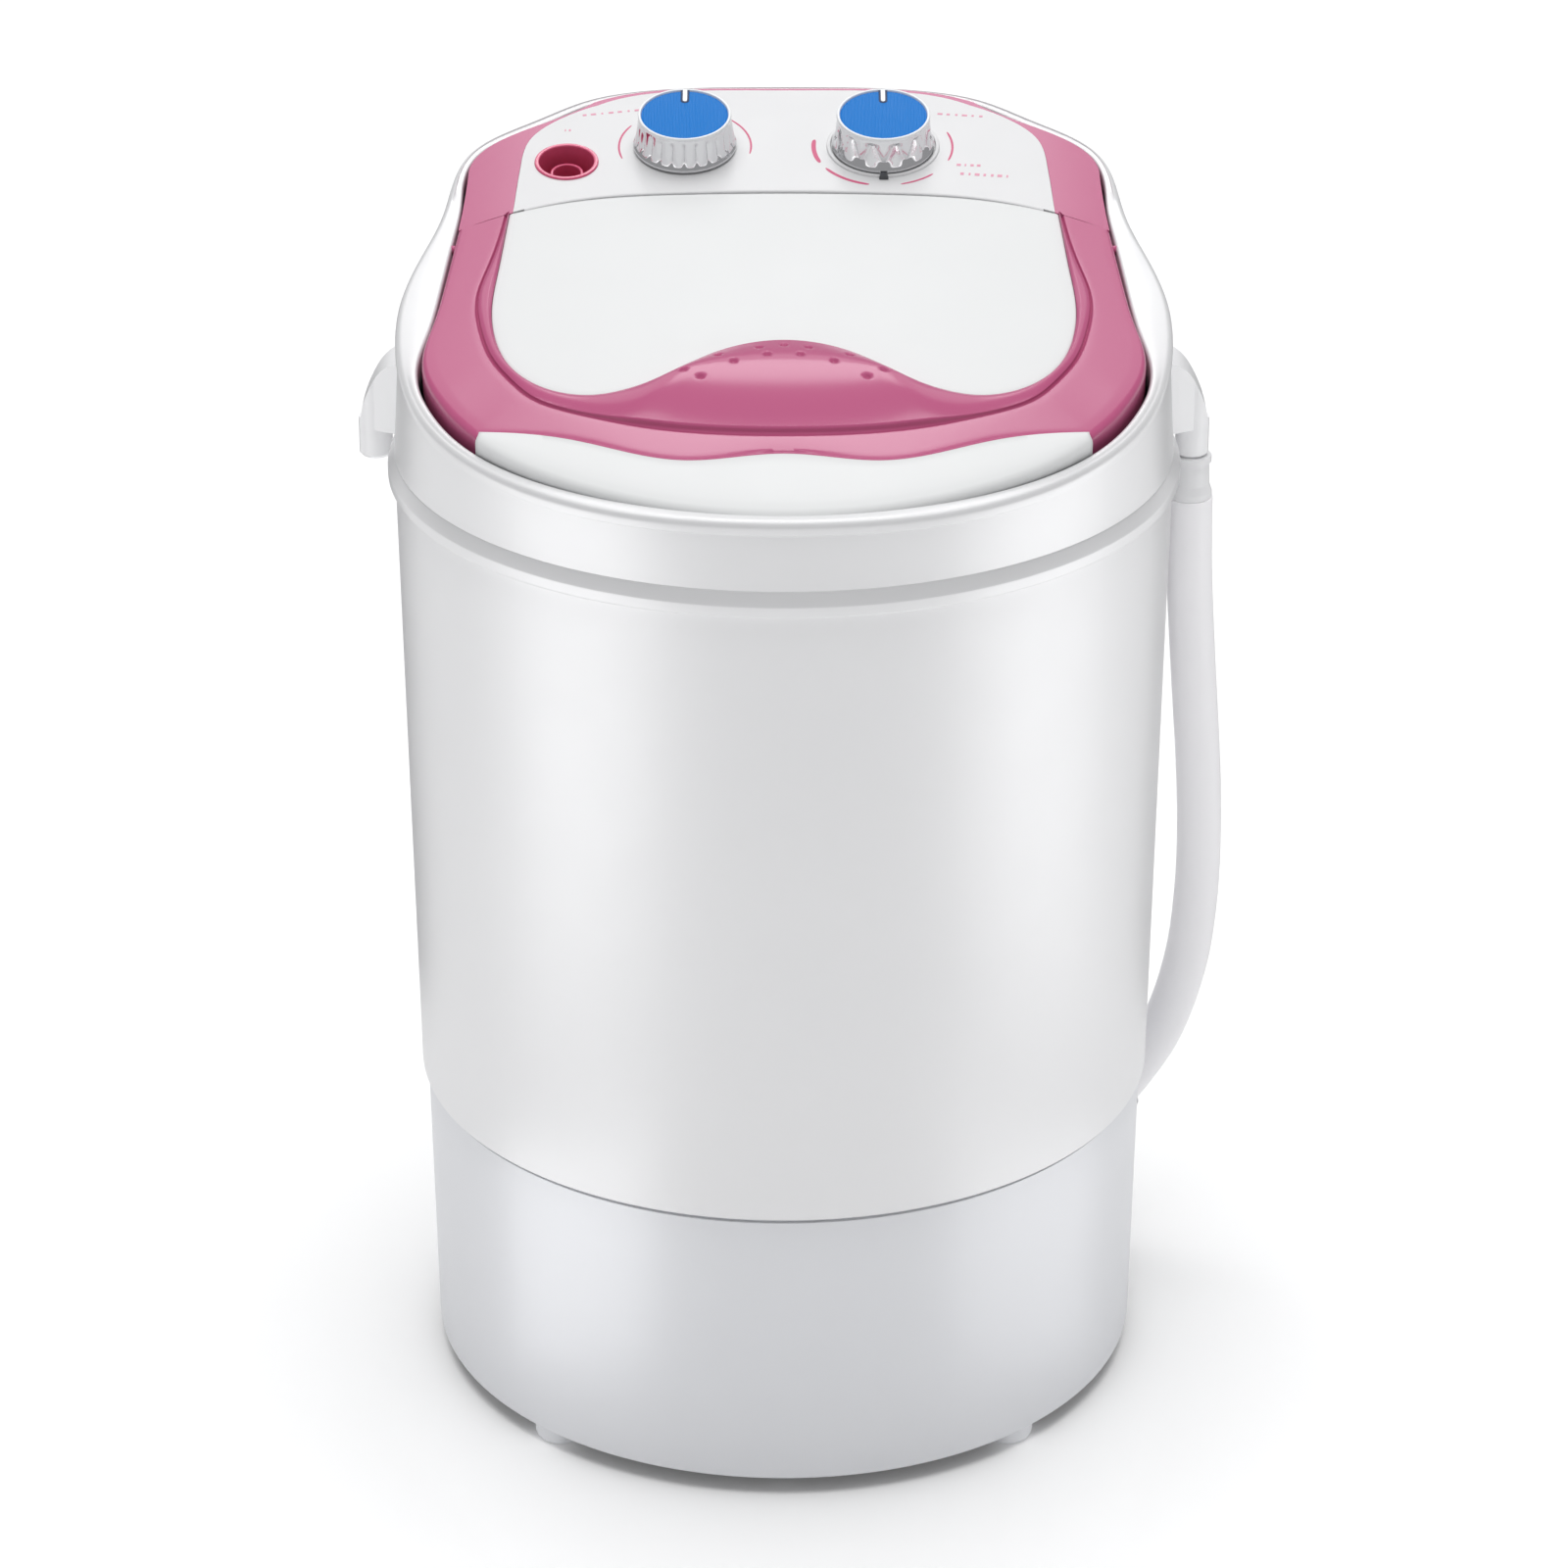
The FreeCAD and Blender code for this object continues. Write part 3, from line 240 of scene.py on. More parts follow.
LOOKS = {
    "base_plastic": material("base_plastic", srgb(222, 223, 226), 0.42, metallic=0.30, mottle=0.012),
    "pearl_plastic": material("pearl_plastic", srgb(230, 230, 231), 0.42, metallic=0.30, mottle=0.012),
    "white_plastic": material("white_plastic", srgb(250, 250, 251), 0.30, coat=0.15, mottle=0.015),
    "grey_plastic": material("grey_plastic", srgb(150, 152, 156), 0.45),
    "pink_plastic": material("pink_plastic", srgb(186, 88, 129), 0.40, coat=0.70, mottle=0.02, shine=0.05),
    "fascia_white": material("fascia_white", srgb(222, 222, 223), 0.38, mottle=0.012),
    "window_white": material("window_white", srgb(227, 228, 228), 0.34, mottle=0.012, shine=0.20),
    "inlet_plastic": material("inlet_plastic", srgb(214, 90, 126), 0.22, coat=0.4),
    "knob_chrome": material("knob_chrome", srgb(226, 226, 228), 0.12, metallic=1.0, scuff=0.05, mottle=0.06),
    "knob_blue": material("knob_blue", srgb(0, 120, 206), 0.42, bump=0.5, bands=260.0, shine=0.25),
    "pointer_white": material("pointer_white", srgb(240, 242, 244), 0.30),
    "hose_vinyl": material("hose_vinyl", srgb(252, 251, 253), 0.45, bump=0.05, mottle=0.02),
    "hose_cuff_vinyl": material("hose_cuff_vinyl", srgb(238, 238, 239), 0.36, bump=0.04, mottle=0.02),
    "foot_rubber": material("foot_rubber", srgb(236, 237, 240), 0.55, bump=0.08),
    "seal_rubber": material("seal_rubber", srgb(30, 30, 31), 0.60, bump=0.12),
    "screw_steel": material("screw_steel", srgb(176, 178, 181), 0.32, metallic=1.0),
    "bearing_steel": material("bearing_steel", srgb(190, 191, 193), 0.22, metallic=1.0),
    "motor_steel": material("motor_steel", srgb(58, 56, 56), 0.45, metallic=0.6),
    "cast_metal": material("cast_metal", srgb(172, 173, 175), 0.42, metallic=1.0, bump=0.2, grain=500.0),
    "pulsator_plastic": material("pulsator_plastic", srgb(232, 234, 238), 0.24, coat=0.3),
    "basket_plastic": material("basket_plastic", srgb(222, 227, 234), 0.28, coat=0.3),
}
# Finishes that share a slot with another look
COLLAR_WHITE = material("collar_white", srgb(231, 231, 232), 0.40, metallic=0.30, coat=0.1, mottle=0.012)
PRINT_PINK = material("print_pink", srgb(206, 90, 128), 0.45, bump=0.02)
PRINT_PALE = material("print_pale", srgb(222, 152, 174), 0.45, bump=0.02)
# painted shade: a near-black look for the base plate, so the gap under the base reads dark
PAINTED_SHADE_UNDERSIDE = material("painted_shade_underside", srgb(40, 40, 42), 0.70)
LUG_GREY = material("lug_grey", srgb(74, 76, 80), 0.35, bump=0.02)
# painted shade: dark blue standing in for the shadow inside each knob's pointer slot
SLOT_PAINTED_SHADE = material("slot_painted_shade", srgb(24, 50, 92), 0.50)


# ---- building pieces ----------------------------------------------------------------------------
def piece(name, mesh, body, slot, look=None, replaces=(), crease=40):
    """A visible piece on a body, in its slot's look unless another is given."""
    mesh.shade_smooth()
    mesh.set_sharp_from_angle(angle=math.radians(crease))
    mesh.materials.append(look or LOOKS[slot])
    obj = bpy.data.objects.new(name, mesh)
    bpy.context.scene.collection.objects.link(obj)
    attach(obj, body)
    if replaces:
        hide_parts(*replaces)
    return obj


def grid(name, rows, closed=False, cap_first=False, cap_last=False):
    """A mesh over rows of points; closed joins the ends of each row, and a cap fills a row's inside."""
    rows = np.asarray(rows, float)
    count, width = rows.shape[:2]
    verts = rows.reshape(-1, 3).tolist()
    last = width if closed else width - 1
    faces = []
    for r in range(count - 1):
        for c in range(last):
            d = (c + 1) % width
            faces.append((r * width + c, r * width + d, (r + 1) * width + d, (r + 1) * width + c))
    for wanted, r in ((cap_first, 0), (cap_last, count - 1)):
        if wanted:
            verts.append(rows[r].mean(0).tolist())
            hub = len(verts) - 1
            for c in range(last):
                d = (c + 1) % width
                edge = (r * width + d, r * width + c) if r == 0 else (r * width + c, r * width + d)
                faces.append(edge + (hub,))
    mesh = bpy.data.meshes.new(name)
    mesh.from_pydata(verts, [], faces)
    mesh.update()
    return mesh


def rounded(profile, radii, steps=5):
    """A polyline with its inner corners rounded; a radius of 0 keeps a corner sharp."""
    pts = [Vector(p) for p in profile]
    out = [pts[0]]
    for before, corner, after, r in zip(pts, pts[1:], pts[2:], radii):
        if not r:
            out.append(corner)
            continue
        a, b = (before - corner), (after - corner)
        half = a.angle(b) / 2
        back = min(r / math.tan(half), 0.49 * a.length, 0.49 * b.length)
        first, last = corner + a.normalized() * back, corner + b.normalized() * back
        for k in range(steps + 1):
            t = k / steps
            out.append(first * (1 - t) ** 2 + corner * 2 * t * (1 - t) + last * t * t)
    out.append(pts[-1])
    return [(p.x, p.y) for p in out]


def lathe(name, profile, at=Matrix(), segments=192, wave=None, ends=(False, False)):
    """A turned mesh about Z from (radius, height) points; wave(angle, r, z) may shift each radius."""
    angles = np.linspace(0, 2 * math.pi, segments, endpoint=False)
    rows = []
    for r, z in profile:
        radius = np.full(segments, r) if wave is None else r + wave(angles, r, z)
        rows.append(np.stack([radius * np.cos(angles), radius * np.sin(angles), np.full(segments, z)], -1))
    mesh = grid(name, rows, closed=True, cap_first=ends[0], cap_last=ends[1])
    mesh.transform(at)
    return mesh


def turned(name, profile, at, segments, wave=None):
    """A turned mesh from a profile in millimetres."""
    return lathe(name, [(r * MM, z * MM) for r, z in profile], at, segments, wave)


def thicken(obj, thickness):
    """Gives an open sheet a thickness, downwards from its visible face."""
    mod = obj.modifiers.new("thickness", "SOLIDIFY")
    mod.thickness = thickness
    mod.offset = -1
    return obj


def soften(node, width, angle=40):
    """Rounds a carried-over CAD node's edges and smooths its curved faces."""
    obj = frame["nodes"][node]
    mod = obj.modifiers.new("edge", "BEVEL")
    mod.width = width
    mod.segments = 3
    mod.limit_method = "ANGLE"
    mod.angle_limit = math.radians(angle)
    mod.harden_normals = True


# ---- camera, lights and floor -------------------------------------------------------------------
CAMERA_PITCH, CAMERA_DISTANCE, AIM_Z = math.radians(25.13), 2.4, 0.271
VIEW_ANGLE = math.radians(16.59)
FLOOR_HALF, FLOOR_WHITE, FLOOR_GLOW = 60.0, (0.96, 0.96, 0.96, 1.0), 0.08
SKY_TINT, SKY_STRENGTH = (0.98, 0.985, 1.0, 1.0), 0.34
SUN_ENERGY, SUN_ANGLE, SUN_LEAN = 2.35, math.radians(50), math.radians(-3)
SOFT_BOXES = [    # name, place, aim, size and power; they show only in reflections
    ("band_left", (-0.44, -0.34, 0.23), (-0.08, -0.14, 0.23), (0.42, 0.45), 0.62),
    ("band_right", (0.50, -0.20, 0.23), (0.11, -0.12, 0.23), (0.42, 0.45), 0.58),
    ("base_left", (-0.150, -0.160, 0.062), (-0.09, -0.13, 0.062), (0.135, 0.12), 0.034),
    ("base_right", (0.165, -0.130, 0.062), (0.11, -0.115, 0.062), (0.135, 0.12), 0.020),
    ("glint", (0, 0.25, 1.9), (0, 0, 0.5), (1.5, 0.10), 3.0),
    ("rear_box", (0, 1.35, 1.75), (0, 0, 0.5), (1.8, 0.8), 5.4),
    ("rear_centre", (0, 1.26, 2.01), (0, 0, 0.5), (0.42, 0.42), 2.3),
]
FLAG_X, FLAG_Y, FLAG_TOP = 0.36, 0.22, 0.50    # dark cards that darken the barrel's sides in reflections


def make_camera():
    camera = bpy.data.objects.new("camera", bpy.data.cameras.new("camera"))
    camera.data.angle = VIEW_ANGLE
    camera.location = (0, -CAMERA_DISTANCE * math.cos(CAMERA_PITCH),
                       AIM_Z + CAMERA_DISTANCE * math.sin(CAMERA_PITCH))
    camera.rotation_euler = (math.pi / 2 - CAMERA_PITCH, 0, 0)
    bpy.context.scene.collection.objects.link(camera)
    bpy.context.scene.camera = camera


def make_sheet(name, corners, look):
    """A flat card of the studio, not part of the machine."""
    mesh = bpy.data.meshes.new(name)
    mesh.from_pydata(corners, [], [(0, 1, 2, 3)])
    mesh.materials.append(look)
    obj = bpy.data.objects.new(name, mesh)
    bpy.context.scene.collection.objects.link(obj)
    return obj


def make_reflection(name, place, aim, size, power):
    """A soft box seen only in reflections."""
    light = bpy.data.lights.new(name, "AREA")
    light.shape = "RECTANGLE"
    light.size, light.size_y = size
    light.energy = power
    obj = bpy.data.objects.new(name, light)
    obj.location = place
    obj.rotation_euler = (Vector(aim) - Vector(place)).to_track_quat("-Z", "Y").to_euler()
    obj.visible_camera = False
    obj.visible_diffuse = False
    obj.visible_transmission = False
    bpy.context.scene.collection.objects.link(obj)


def make_floor():
    paint = material("floor_paint", FLOOR_WHITE, 0.8, mottle=0.0, bump=0.0, scuff=0.02)
    shader = paint.node_tree.nodes["Principled BSDF"]
    shader.inputs["Emission Color"].default_value = (1.0, 1.0, 1.0, 1.0)
    shader.inputs["Emission Strength"].default_value = FLOOR_GLOW
    half = FLOOR_HALF
    make_sheet("floor", [(-half, -half, 0), (half, -half, 0), (half, half, 0), (-half, half, 0)], paint)


def make_sky():
    world = bpy.data.worlds.new("studio")
    world.use_nodes = True
    sky = world.node_tree.nodes["Background"]
    sky.inputs["Color"].default_value = SKY_TINT
    sky.inputs["Strength"].default_value = SKY_STRENGTH
    bpy.context.scene.world = world
    bpy.context.scene.view_settings.view_transform = "Standard"


def make_overhead():
    """The main light, too wide to cast hard shadows and kept out of reflections."""
    overhead = bpy.data.lights.new("overhead", "SUN")
    overhead.energy = SUN_ENERGY
    overhead.angle = SUN_ANGLE
    obj = bpy.data.objects.new("overhead", overhead)
    obj.rotation_euler = (SUN_LEAN, 0, 0)
    obj.visible_glossy = False
    bpy.context.scene.collection.objects.link(obj)


def make_flags():
    black = material("flag_black", (0.01, 0.01, 0.01, 1.0), 0.9, mottle=0.0, bump=0.0, scuff=0.02)
    for name, side in (("flag_left", -1), ("flag_right", 1)):
        near, far = (side * FLAG_X, FLAG_Y), (side * FLAG_X * 0.45, FLAG_Y + 0.20)
        corners = [(*near, 0.002), (*far, 0.002), (*far, FLAG_TOP), (*near, FLAG_TOP)]
        flag = make_sheet(name, corners, black)
        flag.visible_camera = False
        flag.visible_diffuse = False
        flag.visible_shadow = False
        flag.visible_transmission = False


def make_stage():
    make_floor()
    make_sky()
    make_overhead()
    for box in SOFT_BOXES:
        make_reflection(*box)
    make_flags()


# ---- drain hose ---------------------------------------------------------------------------------
HOSE_D = 0.0204
HOSE_ROUTE = [    # from the base's outlet up to the cuff
    (0.1578, 0.0650, 0.0828),
    (0.1706, 0.0660, 0.0998),
    (0.1797, 0.0665, 0.1188),
    (0.1867, 0.0662, 0.1438),
    (0.1902, 0.0646, 0.1685),
    (0.1916, 0.0606, 0.2055),
    (0.1894, 0.0520, 0.2523),
    (0.1848, 0.0422, 0.3022),
    (0.1811, 0.0346, 0.3462),
    (0.1794, 0.0310, 0.3755),
    (0.1791, 0.0300, 0.3980),
]


def make_cuff():
    """The moulded cuff on the hose's upper end, which the grip's peg enters."""
    end = Vector(HOSE_ROUTE[-1])
    top = high("hose_cuff")[2] - end.z
    profile = rounded([(0.0092, -0.001), (0.0096, 0.0), (0.0096, 0.0025), (0.0084, 0.006),
                       (0.0080, top - 0.0035), (0.0080, top - 0.003), (0.0090, top - 0.003),
                       (0.0090, top), (0.0058, top)],
                      [0.001, 0.001, 0.002, 0.002, 0, 0, 0.0006, 0.0006])
    mesh = lathe("cuff_moulding", profile, Matrix.Translation(end), 96, ends=(True, True))
    return piece("cuff_moulding", mesh, "cabinet", "hose_cuff_vinyl", replaces=("hose_cuff",))


def make_hose():
    curve = bpy.data.curves.new("drain_hose", "CURVE")
    curve.dimensions = "3D"
    curve.bevel_depth = HOSE_D / 2
    curve.bevel_resolution = 10
    curve.resolution_u = 16
    curve.use_fill_caps = True
    line = curve.splines.new("NURBS")
    line.points.add(len(HOSE_ROUTE) - 1)
    for point, place in zip(line.points, HOSE_ROUTE):
        point.co = (*place, 1.0)
    line.order_u = 3
    line.use_endpoint_u = True
    curve.materials.append(LOOKS["hose_vinyl"])
    hose = bpy.data.objects.new("drain_hose_tube", curve)
    bpy.context.scene.collection.objects.link(hose)
    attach(hose, "cabinet")
    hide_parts("drain_hose")
    cuff = make_cuff()


# ---- base and tub -------------------------------------------------------------------------------
def make_base():
    """The base's tapered shell, with a recess at the seam and the neck that enters the tub."""
    r0, r1, z0 = SKIRT_R_LOW, SKIRT_R_TOP, BASE_LOW_Z
    shoulder = SEAM_Z - 2.4 * MM
    neck_r, neck_inside, neck_top = r1 - 1.5 * MM, r1 - 3.8 * MM, shoulder + 11 * MM
    profile = rounded([(r0 - WALL, z0), (r0, z0), (r1, shoulder), (neck_r, shoulder), (neck_r, neck_top),
                       (neck_inside, neck_top), (neck_inside, shoulder - 4 * MM), (r0 - WALL, z0)],
                      [2.2 * MM, 0.5 * MM, 0, 0, 0, 0])
    piece("motor_base_shell", lathe("motor_base_shell", profile, segments=288), "cabinet", "base_plastic",
          replaces=("base_skirt",))


def make_spout_collar():
    """The short collar round the hose where it leaves the base."""
    start, beyond = Vector(HOSE_ROUTE[0]), Vector(HOSE_ROUTE[1])
    rise = (beyond - start).normalized()
    at = Matrix.Translation(start) @ rise.to_track_quat("Z", "Y").to_matrix().to_4x4()
    collar = rounded([(0.0122, -0.036), (0.0165, -0.036), (0.0153, -0.007), (0.0122, -0.007)], [0, 0.0015])
    piece("spout_collar", lathe("spout_collar", collar, at, 96), "cabinet", "base_plastic",
          replaces=("spout_collar",))


def make_tub():
    floor_z = high("drain_trap")[2] + 4 * MM
    hub_r, bore_r, hub_z = 27 * MM, 16.3 * MM, high("shaft_seal")[2] + 3 * MM
    r_in = TUB_R_LOW - WALL + TUB_LEAN * (floor_z - SEAM_Z)
    profile = rounded([
        (TUB_R_LOW - WALL, SEAM_Z + 6 * MM), (TUB_R_LOW - WALL, SEAM_Z), (TUB_R_LOW, SEAM_Z),
        (TUB_R_TOP, TUB_TOP_Z), (TUB_R_TOP - WALL, TUB_TOP_Z), (r_in, floor_z), (hub_r, floor_z),
        (hub_r, hub_z), (bore_r, hub_z), (bore_r, hub_z - 12 * MM)],
        [0, 1.0 * MM, 0, 0, 9 * MM, 3 * MM, 1.5 * MM, 1 * MM], steps=6)
    piece("tub_shell", lathe("tub_shell", profile, segments=288), "cabinet", "pearl_plastic",
          replaces=("wash_tub",))


RIB_LOW, RIB_HIGH, RIB_END = 175 * MM, 350 * MM, 9 * MM
RIB_DEPTH, RIB_HALF = 6.5 * MM, 6 * MM


def make_tub_ribs():
    """The five upright ribs inside the tub."""
    for k, degrees in enumerate((-120, -60, 0, 60, 120)):
        rows = []
        for z in np.linspace(RIB_LOW, RIB_HIGH, 24):
            wall = TUB_R_LOW - WALL + TUB_LEAN * (z - SEAM_Z) + 0.4 * MM
            ends = min(1.0, (z - RIB_LOW) / RIB_END, (RIB_HIGH - z) / RIB_END)
            depth = RIB_DEPTH * math.sqrt(max(0.0, 1 - (1 - ends) ** 2))
            rows.append([(wall - depth * math.cos(a * math.pi / 2) ** 0.6, a * RIB_HALF, z)
                         for a in np.linspace(-1, 1, 13)])
        mesh = grid("tub_rib", rows)
        mesh.transform(Matrix.Rotation(math.radians(degrees), 4, "Z"))
        piece("tub_rib_%d" % k, mesh, "cabinet", "pearl_plastic")


# ---- collar -------------------------------------------------------------------------------------
STATIONS = 480         # points round the rim
RIM_SOFT, RIM_SMALL = 3.2, 1.6    # rounding of the rim's outer and inner edge


def make_band():
    band = rounded([
        (TUB_R_TOP + 0.2 * MM, BAND_Z + 1 * MM), (TUB_R_TOP + 0.4 * MM, BAND_Z), (BAND_R, BAND_Z),
        (BAND_R, BAND_Z + 5 * MM), (TUB_R_TOP + 0.2 * MM, BAND_TOP_Z), (TUB_R_TOP - 3 * MM, BAND_TOP_Z)],
        [0, 1.2 * MM, 2.5 * MM, 1.2 * MM])
    piece("collar_band", lathe("collar_band", band, segments=288), "cabinet", "white_plastic",
          look=COLLAR_WHITE, replaces=("top_collar",))


def make_rim():
    """The flared wall above the band and the lipped rim round the deck, in millimetres."""
    angles = np.linspace(0, 2 * math.pi, STATIONS, endpoint=False)
    outer = reach(loop(RIM_OUTER), (0, 0), angles)
    inner = reach(loop(RIM_INNER), (0, 0), angles)
    inner -= 0.9 * ramp(inner * np.sin(angles), -45, -15)
    level = through(RIM_PROFILE)
    rim_z = np.interp(outer * np.sin(angles), level[:, 0], level[:, 1])
    edge_z = np.interp(inner * np.sin(angles), level[:, 0], level[:, 1])
    foot_r, foot_z = TUB_R_TOP / MM, BAND_TOP_Z / MM - 0.5
    width = outer - inner
    soft = np.minimum(RIM_SOFT, 0.45 * width)
    small = np.minimum(RIM_SMALL, 0.25 * width)

    def ring(radius, height):
        return np.stack([radius * np.cos(angles), radius * np.sin(angles), height], -1) * MM

    def wall(share, inset=0.0):
        return ring(foot_r + (outer - 1.0 - foot_r) * share - inset, foot_z + (rim_z - 6.2 - foot_z) * share)

    rows = [wall(s) for s in (0, 0.06, 0.25, 0.5, 0.75, 0.94, 1.0)]
    rows += [ring(outer - 0.1, rim_z - 5.6), ring(outer, rim_z - 5.0)]
    for k in range(7):
        a = k / 6 * math.pi / 2
        rows.append(ring(outer - soft * (1 - math.cos(a)), rim_z - soft * (1 - math.sin(a))))
    top = 0.5 * (rim_z + edge_z)
    rows.append(ring(0.5 * (outer + inner), top))
    for k in range(5):
        a = k / 4 * math.pi / 2
        rows.append(ring(inner + small * (1 - math.sin(a)), edge_z - small * (1 - math.cos(a))))
    depth = 15 - 10 * ramp(inner * np.sin(angles), 66, 78)
    rows.append(ring(inner, edge_z - depth))
    thick = np.minimum(2.4, 0.8 * width)
    rows.append(ring(inner + thick, edge_z - depth))
    rows += [wall(s, 3.0) for s in (0.72, 0.4, 0.0)]
    piece("collar_shell", grid("collar_shell", rows, closed=True), "cabinet", "white_plastic",
          look=COLLAR_WHITE)


# ---- front ledge --------------------------------------------------------------------------------
LEDGE_HALF = 126.0
LEDGE_SECTION = [(0, 7.0), (0, 1.2), (0.012, 0.35), (0.03, 0.0), (0.2, 0.0), (0.4, 0.0), (0.6, 0.1),
                 (0.8, 0.35), (0.93, 0.8), (0.98, 1.3), (1.0, 2.2), (1.0, 7.0)]   # share of depth, drop


def make_ledge():
    """The apron between the lid's waved front edge and the rim."""
    xs = np.linspace(-LEDGE_HALF, LEDGE_HALF, 161)
    wave = through(LID_FRONT)
    rear = np.interp(xs, wave[:, 0], wave[:, 1]) - 1.2
    inner = loop(RIM_INNER)
    front_half = inner[inner[:, 1] < 0]
    order = np.argsort(front_half[:, 0])
    front = np.interp(xs, front_half[order, 0], front_half[order, 1]) + 1.0
    front = np.minimum(front, rear - 0.4)
    rows = []
    for t, drop in LEDGE_SECTION:
        y = rear + (front - rear) * t
        rows.append(lay(np.stack([xs, y], -1), np.full(len(xs), -drop), LID_TILT))
    ledge = piece("front_apron", grid("front_apron", rows), "cabinet", "white_plastic",
                  look=LOOKS["window_white"], replaces=("front_ledge",))
    thicken(ledge, 1.8 * MM)


# ---- lid ----------------------------------------------------------------------------------------
LID_CENTRE = (0.0, 20.0)
DIMPLES = mirrored([(0, -40.6), (10.4, -42.9), (7.0, -50.7), (21.0, -56.3), (27.8, -49.6), (34.8, -67.7),
                    (42.1, -62.6)])
DIMPLE_R, DIMPLE_DEPTH = 2.3, 1.6
CROWN_LEAST, CROWN_MORE = 1.5, 5.6     # height of the bead beside the window, and what the grip adds
GROOVE_DEPTH, GROOVE_AT, GROOVE_HALF = 1.3, 0.6, 0.7    # the crease past the bead
LID_SAG, EDGE_R, SKIRT_DROP = 0.7, 3.2, 13.5


def lid_heights(points, share, width):
    """Height over the lid's plane: share runs 0 to 1 from the window to the crease, and on past it."""
    crown = CROWN_LEAST + CROWN_MORE * ramp(width, 9, 58)
    rise = ramp(share, -0.25, 0.34)
    fall = 1 - 0.78 * np.clip((share - 0.30) / 0.70, 0, 1) ** 2.2 - 0.22 * ramp(share, 0.965, 1.0)
    bead = crown * rise * fall
    past = np.clip((share - 1) * width, 0, None)
    groove = -GROOVE_DEPTH * np.exp(-((past - GROOVE_AT) / GROOVE_HALF) ** 2) * (share > 0.985)
    height = bead + groove
    for x, y in DIMPLES:
        away = np.hypot(points[..., 0] - x, points[..., 1] - y)
        height -= DIMPLE_DEPTH * (1 - ramp(away, 0.5, DIMPLE_R))
    return height


def fan(curve, right):
    """Points of a curve at even steps of angle, from the left twin of its right-hand end round to it."""
    x, y = right[0] - LID_CENTRE[0], right[1] - LID_CENTRE[1]
    start = math.atan2(y, -x) % (2 * math.pi)
    stop = math.atan2(y, x) % (2 * math.pi) + 2 * math.pi
    angles = np.linspace(start, stop, 560)
    return rays(LID_CENTRE, angles, reach(curve, LID_CENTRE, angles))


def set_in(outline, towards, amount):
    """An outline moved in by an amount towards another."""
    gap = np.linalg.norm(outline - towards, axis=1)
    return outline + (towards - outline) * (amount / gap)[:, None]


def lid_top(w, g, o):
    """The lid's face as (points, heights) from the window w over the crease g to the outline o."""
    width, gap = np.linalg.norm(g - w, axis=1), np.linalg.norm(o - g, axis=1)
    rows = [(w, np.full(len(w), -0.1))]
    for share in np.concatenate([np.linspace(0.004, 0.93, 68), np.linspace(0.937, 1.0, 18)]):
        points = w + (g - w) * share
        rows.append((points, lid_heights(points, share, width)))
    for step in np.linspace(0.3, 2.4, 8):
        points = g + (o - g) * (step / gap)[:, None]
        rows.append((points, lid_heights(points, 1 + step / width, width)))
    sag = LID_SAG * ramp(-o[:, 1], 70, 104)
    for t in (0.12, 0.24, 0.36, 0.48, 0.6, 0.72):
        points = g + (o - g) * (2.4 / gap + (1 - 2.4 / gap) * t)[:, None]
        rows.append((points, -sag * t ** 1.3))
    for k in range(7):
        a = k / 6 * math.pi / 2
        drop = sag * (0.84 + 0.04 * k / 6) + EDGE_R * (1 - math.cos(a))
        rows.append((set_in(o, g, 0.5 + EDGE_R * (1 - math.sin(a))), -drop))
    return rows


def make_lid():
    side = through(LID_SIDE)
    outline = np.concatenate([side * (-1, 1), through(LID_FRONT), side[::-1]])
    w = fan(through(mirrored(WINDOW[::-1])), WINDOW[0])
    g = fan(through(mirrored(CREASE[::-1])), CREASE[0])
    o = fan(outline, LID_SIDE[0])
    top = lid_top(w, g, o)
    skirt = [(set_in(o, g, 0.5), -SKIRT_DROP), (set_in(o, g, 2.6), -SKIRT_DROP), (set_in(o, g, 2.6), -3.0)]
    under = [(points, heights - 2.1) for points, heights in top[-8::-4]]
    rows = [lay(points, heights, LID_TILT) for points, heights in top]
    rows += [lay(points, np.full(len(points), level), LID_TILT) for points, level in skirt]
    rows += [lay(points, heights, LID_TILT) for points, heights in under]
    rows.append(lay(w, np.full(len(w), -2.2), LID_TILT))
    across = np.swapaxes(np.array(rows), 0, 1)
    mesh = grid("lid_moulding", across, closed=True, cap_first=True, cap_last=True)
    piece("lid_moulding", mesh, "lid", "pink_plastic", replaces=("lid_frame",), crease=55)


WINDOW_EDGE = [(0, 2.0), (0, 0.35), (0.15, 0.05), (0.5, -0.15), (1.6, -0.3)]    # inset, drop
WINDOW_POINTS = 720


def make_window():
    window = through(mirrored(WINDOW[::-1]))
    seam = through(SEAM)
    inside = seam[np.abs(seam[:, 0]) < WINDOW[0][0] - 0.6]
    outline = np.concatenate([window, (inside - (0, 0.15))[::-1]])
    angles = np.linspace(0, 2 * math.pi, WINDOW_POINTS, endpoint=False)
    distance = reach(outline, LID_CENTRE, angles) - 0.1
    rows = []
    for inset, drop in WINDOW_EDGE:
        edge = rays(LID_CENTRE, angles, distance - inset)
        rows.append(lay(edge, np.full(WINDOW_POINTS, -drop), LID_TILT))
    for share in (0.96, 0.9, 0.8, 0.65, 0.5, 0.35, 0.2, 0.08):
        crown = 0.3 + 1.1 * (1 - share ** 2)
        face = rays(LID_CENTRE, angles, distance * share)
        rows.append(lay(face, np.full(WINDOW_POINTS, crown), LID_TILT))
    mesh = grid("lid_window_panel", rows, closed=True, cap_last=True)
    panel = piece("lid_window_panel", mesh, "lid", "window_white", replaces=("lid_window",))
    thicken(panel, 2.0 * MM)


